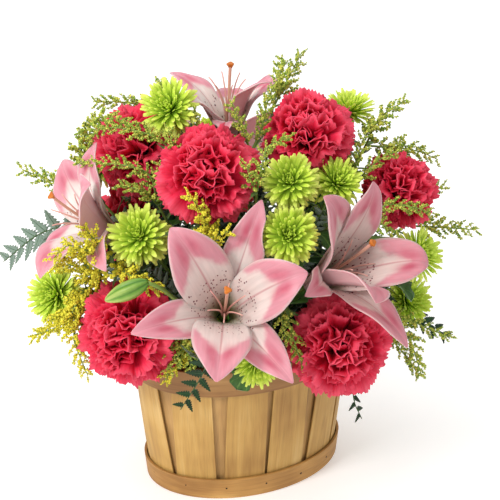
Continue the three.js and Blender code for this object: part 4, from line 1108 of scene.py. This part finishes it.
lobed = kinds_of("lobed", [lobed_leaf(k) for k in range(3)])
for k, (centre, radius, heading, rise) in enumerate(MUMS, 1):
    centre, axis = np.array(centre, float), facing(heading, rise)
    widest = 98 if rise > 70 else 118      # a head that faces up is a flatter dome
    head = turn_to(
        grown(f"mum_{k}_head", bloom, Parts=florets, Kinds=len(FLORET_BENDS), Count=190,
              Radius=radius * 1.02 * MM, Widest=math.radians(widest), Crowding=1.3, Middle=0.45,
              Depth=radius * 0.12 * MM, Wildness=0.075, Seed=200 + k, Petal=mum_floret),
        centre, axis)
    path = stem_path(centre - axis * radius * 0.1, axis, 10)
    stem = grown(
        f"mum_{k}_stalk", growth, ways("stem", [smooth(path)]), Parts=lobed, Spacing=15 * MM,
        First=0.32, Last=0.86, Lean=1.0, Turn=NEXT_PART, Up=(0.3, 0.2, 1.0), Start_size=1.1,
        End_size=0.8, Unevenness=0.4, Foot_radius=1.6 * MM, Tip_radius=1.5 * MM, Seed=220 + k,
        Stalk=mum_green)
    outline = [(1.6, -radius * 0.4), (radius * 0.2, -radius * 0.34),
               (radius * 0.32, -radius * 0.22), (radius * 0.22, -radius * 0.02)]
    cup = turn_to(lathe("cup", outline, 12, mum_green), centre, axis)
    put(f"mum_{k}_bloom", joined(f"mum_{k}_bloom", [head, stem, cup]), "mum_green", f"mum_{k}")


# ----------------------------------------------------------------- lilies
# Oriental lilies: three broad inner petals over three narrow outer ones, cream
# at the throat with dark raised freckles, rose towards the tips, pale-edged.
lily_petal, tree = finish_of(
    "Lily petal", 0.42, 1.4, Subsurface_Weight=0.35, Subsurface_Radius=(0.004, 0.002, 0.002),
    Subsurface_Scale=0.5, Sheen_Weight=0.1)
along, across, upper, dusk = (
    add(tree, "Attribute", attribute_name=mark).outputs["Fac"]
    for mark in ("along", "across", "upper", "dusk"))
flat = add(tree, "Attribute flat").outputs["Vector"]
off = add(tree, "Math ABSOLUTE", across)
cloud = add(tree, "TexNoise", flat, Scale=60.0, Detail=4.0)
fan = add(tree, "Mapping", flat, Scale=(1.0, 0.12, 1.0))
veins = add(tree, "TexNoise", fan, Scale=420.0, Detail=2.0)
edge = add(tree, "Math MULTIPLY_ADD", off, -0.26, 0.55)
edge = add(tree, "Math MULTIPLY_ADD", cloud, 0.3, edge)
blush = add(tree, "Math SUBTRACT", along, edge)
blush = add(tree, "MapRange", blush, -0.04, 0.06, 0.05, 0.9, interpolation_type="SMOOTHSTEP")
rim = add(tree, "MapRange", off, 0.88, 1.0, 1.0, 0.3)
blush = add(tree, "Math MULTIPLY", blush, rim)
body = add(tree, "Mix RGBA", blush, "#e4dad3", "#d88d9c")
far, near, zone = (
    add(tree, "Math SUBTRACT", mark, at)
    for mark, at in ((along, 0.74), (off, 0.32), (along, 0.31)))
far, near, zone = (add(tree, "Math ABSOLUTE", gap) for gap in (far, near, zone))
far = add(tree, "MapRange", far, 0.0, 0.2, 1.0, 0.0, interpolation_type="SMOOTHSTEP")
near = add(tree, "MapRange", near, 0.0, 0.42, 1.0, 0.0, interpolation_type="SMOOTHSTEP")
patch = add(tree, "Math MULTIPLY", far, near)
broken = add(tree, "MapRange", cloud, 0.3, 0.7, 0.45, 1.0)
patch = add(tree, "Math MULTIPLY", patch, broken)
body = add(tree, "Mix RGBA", patch, body, "#c3506a")
lined = add(tree, "MapRange", veins, 0.35, 0.65, 0.93, 1.03)
body = add(tree, "Mix RGBA", 1.0, body, lined, blend_type="MULTIPLY")
throat = add(tree, "MapRange", along, 0.1, 0.28, 0.95, 0.0)
body = add(tree, "Mix RGBA", throat, body, "#8b8f40")
keel = add(tree, "MapRange", off, 0.015, 0.055, 0.55, 0.0)
faded = add(tree, "MapRange", along, 0.75, 0.95, 1.0, 0.1)
keel = add(tree, "Math MULTIPLY", keel, faded)
body = add(tree, "Mix RGBA", keel, body, "#c07078")
dots = add(tree, "TexVoronoi", flat, Scale=500.0, Randomness=0.85)
dot = add(tree, "MapRange", dots, 0.26, 0.36, 1.0, 0.0)
kept = add(tree, "SeparateColor", dots.outputs["Color"])
kept = add(tree, "Math GREATER_THAN", kept, 0.48)
zone = add(tree, "Math LESS_THAN", zone, 0.14)
inner = add(tree, "Math LESS_THAN", off, 0.86)
# A petal's back is its own pale rose, painted lighter than it is: painted light standing for light
# shining through the petal.
under = add(tree, "Math MULTIPLY_ADD", upper, -0.75, 0.75)
body = add(tree, "Mix RGBA", under, body, "#ecb6bf")
# Painted shade: each bloom is darkened towards a greyish brown by its own amount, most where it
# stands in shade.
body = add(tree, "Mix RGBA", dusk, body, "#b58a80", blend_type="MULTIPLY")
for gate in (kept, zone, inner, upper):
    dot = add(tree, "Math MULTIPLY", dot, gate)
body = add(tree, "Mix RGBA", dot, body, "#6c0f26")
raised = add(tree, "Math MULTIPLY_ADD", dot, 0.8, veins)
coat(tree, body, raised, 0.45, 0.0006)

lily_green = green_stem("Lily stem", "#56742c", "#8aa34a", 0.42)
lily_leaf = green_leaf("Lily leaf", "#2c5a22", "#4d7f2f", "#6d9a48", 0.38, 0.0, 0.0)
filament_skin = green_stem("Lily filament", "#d98f92", "#d9b49a", 0.4)
stigma_skin = green_stem("Lily stigma", "#a8501c", "#d9822c", 0.35)
style_skin = green_stem("Lily style", "#cf8a80", "#d3b08e", 0.4)
bud_skin, tree = finish_of("Lily bud", 0.42, 1.4)
along = add(tree, "Attribute along").outputs["Fac"]
streak = add(tree, "TexNoise", add(tree, "TexCoord").outputs["Object"], Scale=260.0, Detail=2.0)
tone = add(tree, "Math MULTIPLY_ADD", streak, 0.3, along)
dip = add(tree, "Attribute dip").outputs["Fac"]
tone = add(tree, "Math MULTIPLY_ADD", dip, 2.6, tone)
ramp = add(tree, "ValToRGB", tone)
coat(tree, stops(ramp, "#41701f", "#9fb45c", (0.55, "#6b9436")), streak, 0.3, 0.0004)

# Throat, heading, rise, pistil, painted shade (how far a bloom that stands in shade is darkened),
# then each petal's turn, opening and length; the three broad inner petals come first.
LILIES = [
    ((-51, -63, 164), -116, 38, 60, 0.2,
     [(127, 44, 90), (260, 41, 91), (14, 38, 92), (69, 56, 92), (306, 54, 90), (198, 51, 90)]),
    ((19, -82, 184), -67, 38, 58, 0.36,
     [(114, 41, 83), (315, 28, 83), (224, 35, 79), (61, 34, 85), (267, 58, 84), (184, 60, 62)]),
    ((-100, 29, 205), -175, 37, 56, 0.1,
     [(38, 36, 74), (154, 71, 70), (285, 51, 67), (101, 53, 68), (219, 78, 56), (338, 66, 62)]),
    ((10, 37, 260), 207, 87, 50, 0.1,
     [(240, 54, 56), (0, 39, 62), (120, 76, 54), (180, 54, 64), (300, 66, 54), (60, 52, 54)]),
    ((38, 92, 178), 68, 25, 58, 0.2,
     [(30, 46, 86), (150, 46, 86), (270, 46, 86), (90, 61, 86), (210, 61, 86), (330, 61, 86)]),
]
# The unopened bud on the first lily
BUD_STALK = [(-39, -39, 143), (-70, -48, 165), (-96, -56, 192), (-107, -53, 199)]
BUD_TIP = (-132, -37, 184)
ROWS, COLS = 30, 15     # points along and across a petal


def bent_petal(throat, out, axis, opening, long, wide, number, dusk):
    """A petal on a curve out of the throat, leaning away from round blooms."""
    across, opening = np.cross(axis, out), math.radians(opening)
    reach, rise = math.sin(opening) * long, math.cos(opening) * long
    a, b, c, d = [throat + out * o + axis * h for o, h in (
        (4.6, -13 if wide else -15), (7, 12 + rise * 0.22),
        (reach * 0.62, rise * 0.9 + (6 if wide else 1)), (reach, rise - 2))]
    root, most, widest, taper = (4.2, 18.8, 0.55, 1.9) if wide else (3.8, 12.6, 0.58, 1.75)
    most *= min(long / 86, 1)
    random.seed(number)
    phase, waves = random.uniform(0, 6.28), random.uniform(1.6, 2.3)
    flick = random.uniform(2.0, 5.0)
    along = [1 - (1 - i / (ROWS - 1)) ** 1.15 for i in range(ROWS)]
    cross = [2 * j / (COLS - 1) - 1 for j in range(COLS)]
    grid, flat = [], []
    for s in along:
        p = a * (1 - s) ** 3 + 3 * b * s * (1 - s) ** 2 + 3 * c * s * s * (1 - s) + d * s ** 3
        t = unit(3 * (b - a) * (1 - s) ** 2 + 6 * (c - b) * s * (1 - s) + 3 * (d - c) * s * s)
        n = np.cross(t, across)
        if s < widest:
            bulge = math.sin(math.pi / 2 * s / widest) ** 1.25
        else:
            bulge = 1 - ((s - widest) / (1 - widest)) ** taper
        half = root * (1 - s) + most * bulge + 0.5
        p = p - n * flick * max(0.0, s - 0.8) ** 2 * 25 * 0.5
        for u in cross:
            cup = half * (0.16 * (1 - s) + 0.20 * s) * abs(u) ** 1.5
            curl = -half * 0.16 * s * abs(u) ** 5
            wave = 1.5 * u * u * math.sin(s * 6.28 * waves + phase + (1.4 if u > 0 else 0)) * bulge
            keel = -0.8 * math.exp(-(u / 0.09) ** 2) * (1 - s ** 3) * min(s * 4, 1)
            point = p + across * u * half + n * (cup + curl + wave + keel)
            for centre, radius, *_ in (CARNATIONS + MUMS) * 3 if s else ():
                gap, keep = point - np.array(centre, float), radius * 0.84 + 3
                if np.linalg.norm(gap) < keep:
                    point = np.array(centre, float) + unit(gap) * keep
            grid.append(point)
            flat.append((u * half * MM, s * long * MM, number * 0.1))
    return blade("petal", grid, along, cross, 0.9, lily_petal, flat=flat, dusk=[dusk] * len(grid))


def rod(name, path, radii, material, sides=8):
    """A round rod through the points in mm, closed at both ends."""
    path = [np.array(p, float) for p in path]
    points = []
    for i, (p, radius) in enumerate(zip(path, radii)):
        t = unit(path[min(i + 1, len(path) - 1)] - path[max(i - 1, 0)])
        u = unit(np.cross(t, (0.9, 0.33, 0.2)))
        v = np.cross(t, u)
        for k in range(sides):
            turn = 2 * math.pi * k / sides
            points.append((p + (u * math.cos(turn) + v * math.sin(turn)) * radius) * MM)
    along = np.repeat(np.linspace(0, 1, len(path)), sides)
    mesh = mesh_of(name, points, tube_faces(len(path), sides), along=along)
    mesh.materials.append(material)
    return mesh


straps = kinds_of("straps", [narrow_leaf("strap", 58, 7.0, d, lily_leaf) for d in (0.2, 0.4, 0.6)])
for k, (throat, heading, rise, pistil, dusk, petals) in enumerate(LILIES, 1):
    throat, axis = np.array(throat, float), facing(heading, rise)
    level = np.array((-math.sin(math.radians(heading)), math.cos(math.radians(heading)), 0))
    over = np.cross(axis, level)
    made = []
    for number, (turn, opening, long) in enumerate(petals):
        out = level * math.cos(math.radians(turn)) + over * math.sin(math.radians(turn))
        made.append(bent_petal(throat, out, axis, opening, long, number < 3, k * 10 + number, dusk))
    put(f"lily_{k}_bloom", joined(f"lily_{k}_bloom", made), "lily_petal", f"lily_{k}_petals")

    path = stem_path(throat - axis * 17, axis, 14)
    parts = [grown(f"lily_{k}_stalk", growth, ways("stem", [smooth(path)]), Parts=straps,
                   Spacing=12 * MM, First=0.25, Last=0.85, Lean=0.85, Turn=NEXT_PART,
                   Up=(0.3, 0.2, 1.0), Start_size=1.0, End_size=0.75, Unevenness=0.4,
                   Foot_radius=2.6 * MM, Tip_radius=2.5 * MM, Seed=320 + k, Stalk=lily_green)]
    parts.append(
        rod("ovary", [throat - axis * 18, throat - axis * 13, throat - axis * 4, throat + axis * 2],
            [2.6, 3.4, 3.0, 1.2], lily_green, 9))
    end = throat + axis * pistil + over * 5
    style = [throat + axis * 1, throat + axis * (pistil * 0.5) + over * 1.5,
             throat + axis * (pistil - 6) + over * 4, end - axis * 1.5]
    style = smooth(style)
    parts.append(rod("style", style, np.linspace(1.0, 1.2, len(style)), style_skin))
    outline = [(1.2, -2.4), (1.7, -1.2), (2.5, 0.2), (2.7, 1.0), (1.9, 1.5), (0.5, 1.1)]
    knob = lathe(
        "stigma", outline, 15, stigma_skin, lambda r, j: 0.22 * math.cos(j * 2 * math.pi / 5))
    parts.append(turn_to(knob, end, axis))
    for n in range(6):
        turn = math.radians(60 * n + 20)
        out = level * math.cos(turn) + over * math.sin(turn)
        line = smooth(
            [throat - axis * 8 + out * 0.8, throat + axis * 18 + out * 3.2,
             throat + axis * 34 + out * 9, throat + axis * 41 + out * 14])
        parts.append(rod("filament", line, np.linspace(1.0, 0.45, len(line)), filament_skin, 6))
    if k == 1:
        stalk = smooth([np.array(p, float) for p in BUD_STALK])
        parts.append(rod("bud_stalk", stalk, [1.5] * len(stalk), lily_green))
        start, tip = np.array(BUD_STALK[-1], float), np.array(BUD_TIP, float)
        long = np.linalg.norm(tip - start)
        outline = ((1.6, -0.04), (2.6, 0.0), (4.4, 0.08), (5.7, 0.2), (6.5, 0.35), (6.6, 0.5),
                   (5.9, 0.65), (4.4, 0.8), (3.0, 0.9), (1.6, 0.97), (0.6, 1.0))
        outline = [(radius, share * long) for radius, share in outline]
        bud = lathe("bud", outline, 36, bud_skin,
                    lambda r, j: 0.07 - 0.24 * abs(math.cos(j * math.pi / 6)) ** 5)
        parts.append(turn_to(bud, start, unit(tip - start)))
    put(f"lily_{k}_stalk", joined(f"lily_{k}_stalk", parts), "stem_green", f"lily_{k}_stem")


# ---------------------------------------------------- greens between stems
# Short sprigs of leatherleaf pushed into the foam between the flower stems,
# each as long as the blooms round it allow, hide the foam from every side.
deep_leaf = green_leaf(
    "Leatherleaf fern leaflet, in the shade", "#081a0a", "#16351a", "#26482a", 0.45, 9.0, 0.5)
small_leaflets = kinds_of(
    "small_leaflets", [toothed_leaflet(k, 10, (-1, 0, 1), deep_leaf) for k in range(3)])
crowd = [(np.array(c, float), r + 3) for c, r, *_ in CARNATIONS + MUMS]
crowd += [(np.array(lily[0], float), 21) for lily in LILIES]
random.seed(31)
TRIES, SHORTEST, STRIDE = 64, 70, 3     # ways tried, least length and step in mm
sprigs = []
for n in range(TRIES):
    level = 1 - 0.62 * (n + 0.5) / TRIES
    turn = n * GOLDEN_TURN + random.uniform(-0.2, 0.2)
    flat = math.sqrt(1 - level * level)
    aim = np.array((flat * math.cos(turn), flat * math.sin(turn), level))
    reach = STEM_STOP
    while reach < 100 + 60 * level and all(
            np.linalg.norm(HEART + aim * reach - centre) > keep for centre, keep in crowd):
        reach += STRIDE
    if reach >= SHORTEST:
        middle = HEART + aim * reach * 0.7 + np.array((0, 0, 2.0))
        sprigs.append((n, [HEART + aim * STEM_STOP, middle, HEART + aim * reach]))
fronds = []
for n, path in sprigs:
    twist = np.array([random.uniform(-1, 1) for _ in range(3)])
    twist = unit(np.cross(np.cross(path[2] - path[0], twist), path[2] - path[0]))
    fronds.append(
        grown("sprig", growth, ways("sprig", [smooth(path)]), Parts=small_leaflets,
              Spacing=3.4 * MM, First=0.2, Last=0.99, Lean=1.0, Turn=math.pi, Up=tuple(twist),
              Flat=1.0, Start_size=20.0, End_size=9.0, Unevenness=0.3, Foot_radius=0.9 * MM,
              Tip_radius=0.4 * MM, Seed=400 + n, Stalk=fern_rib))
put("leatherleaf_sprigs", joined("leatherleaf_sprigs", fronds), "fern_green")

size = {"cad": cad_box, "visual": [list(corner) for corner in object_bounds()]}
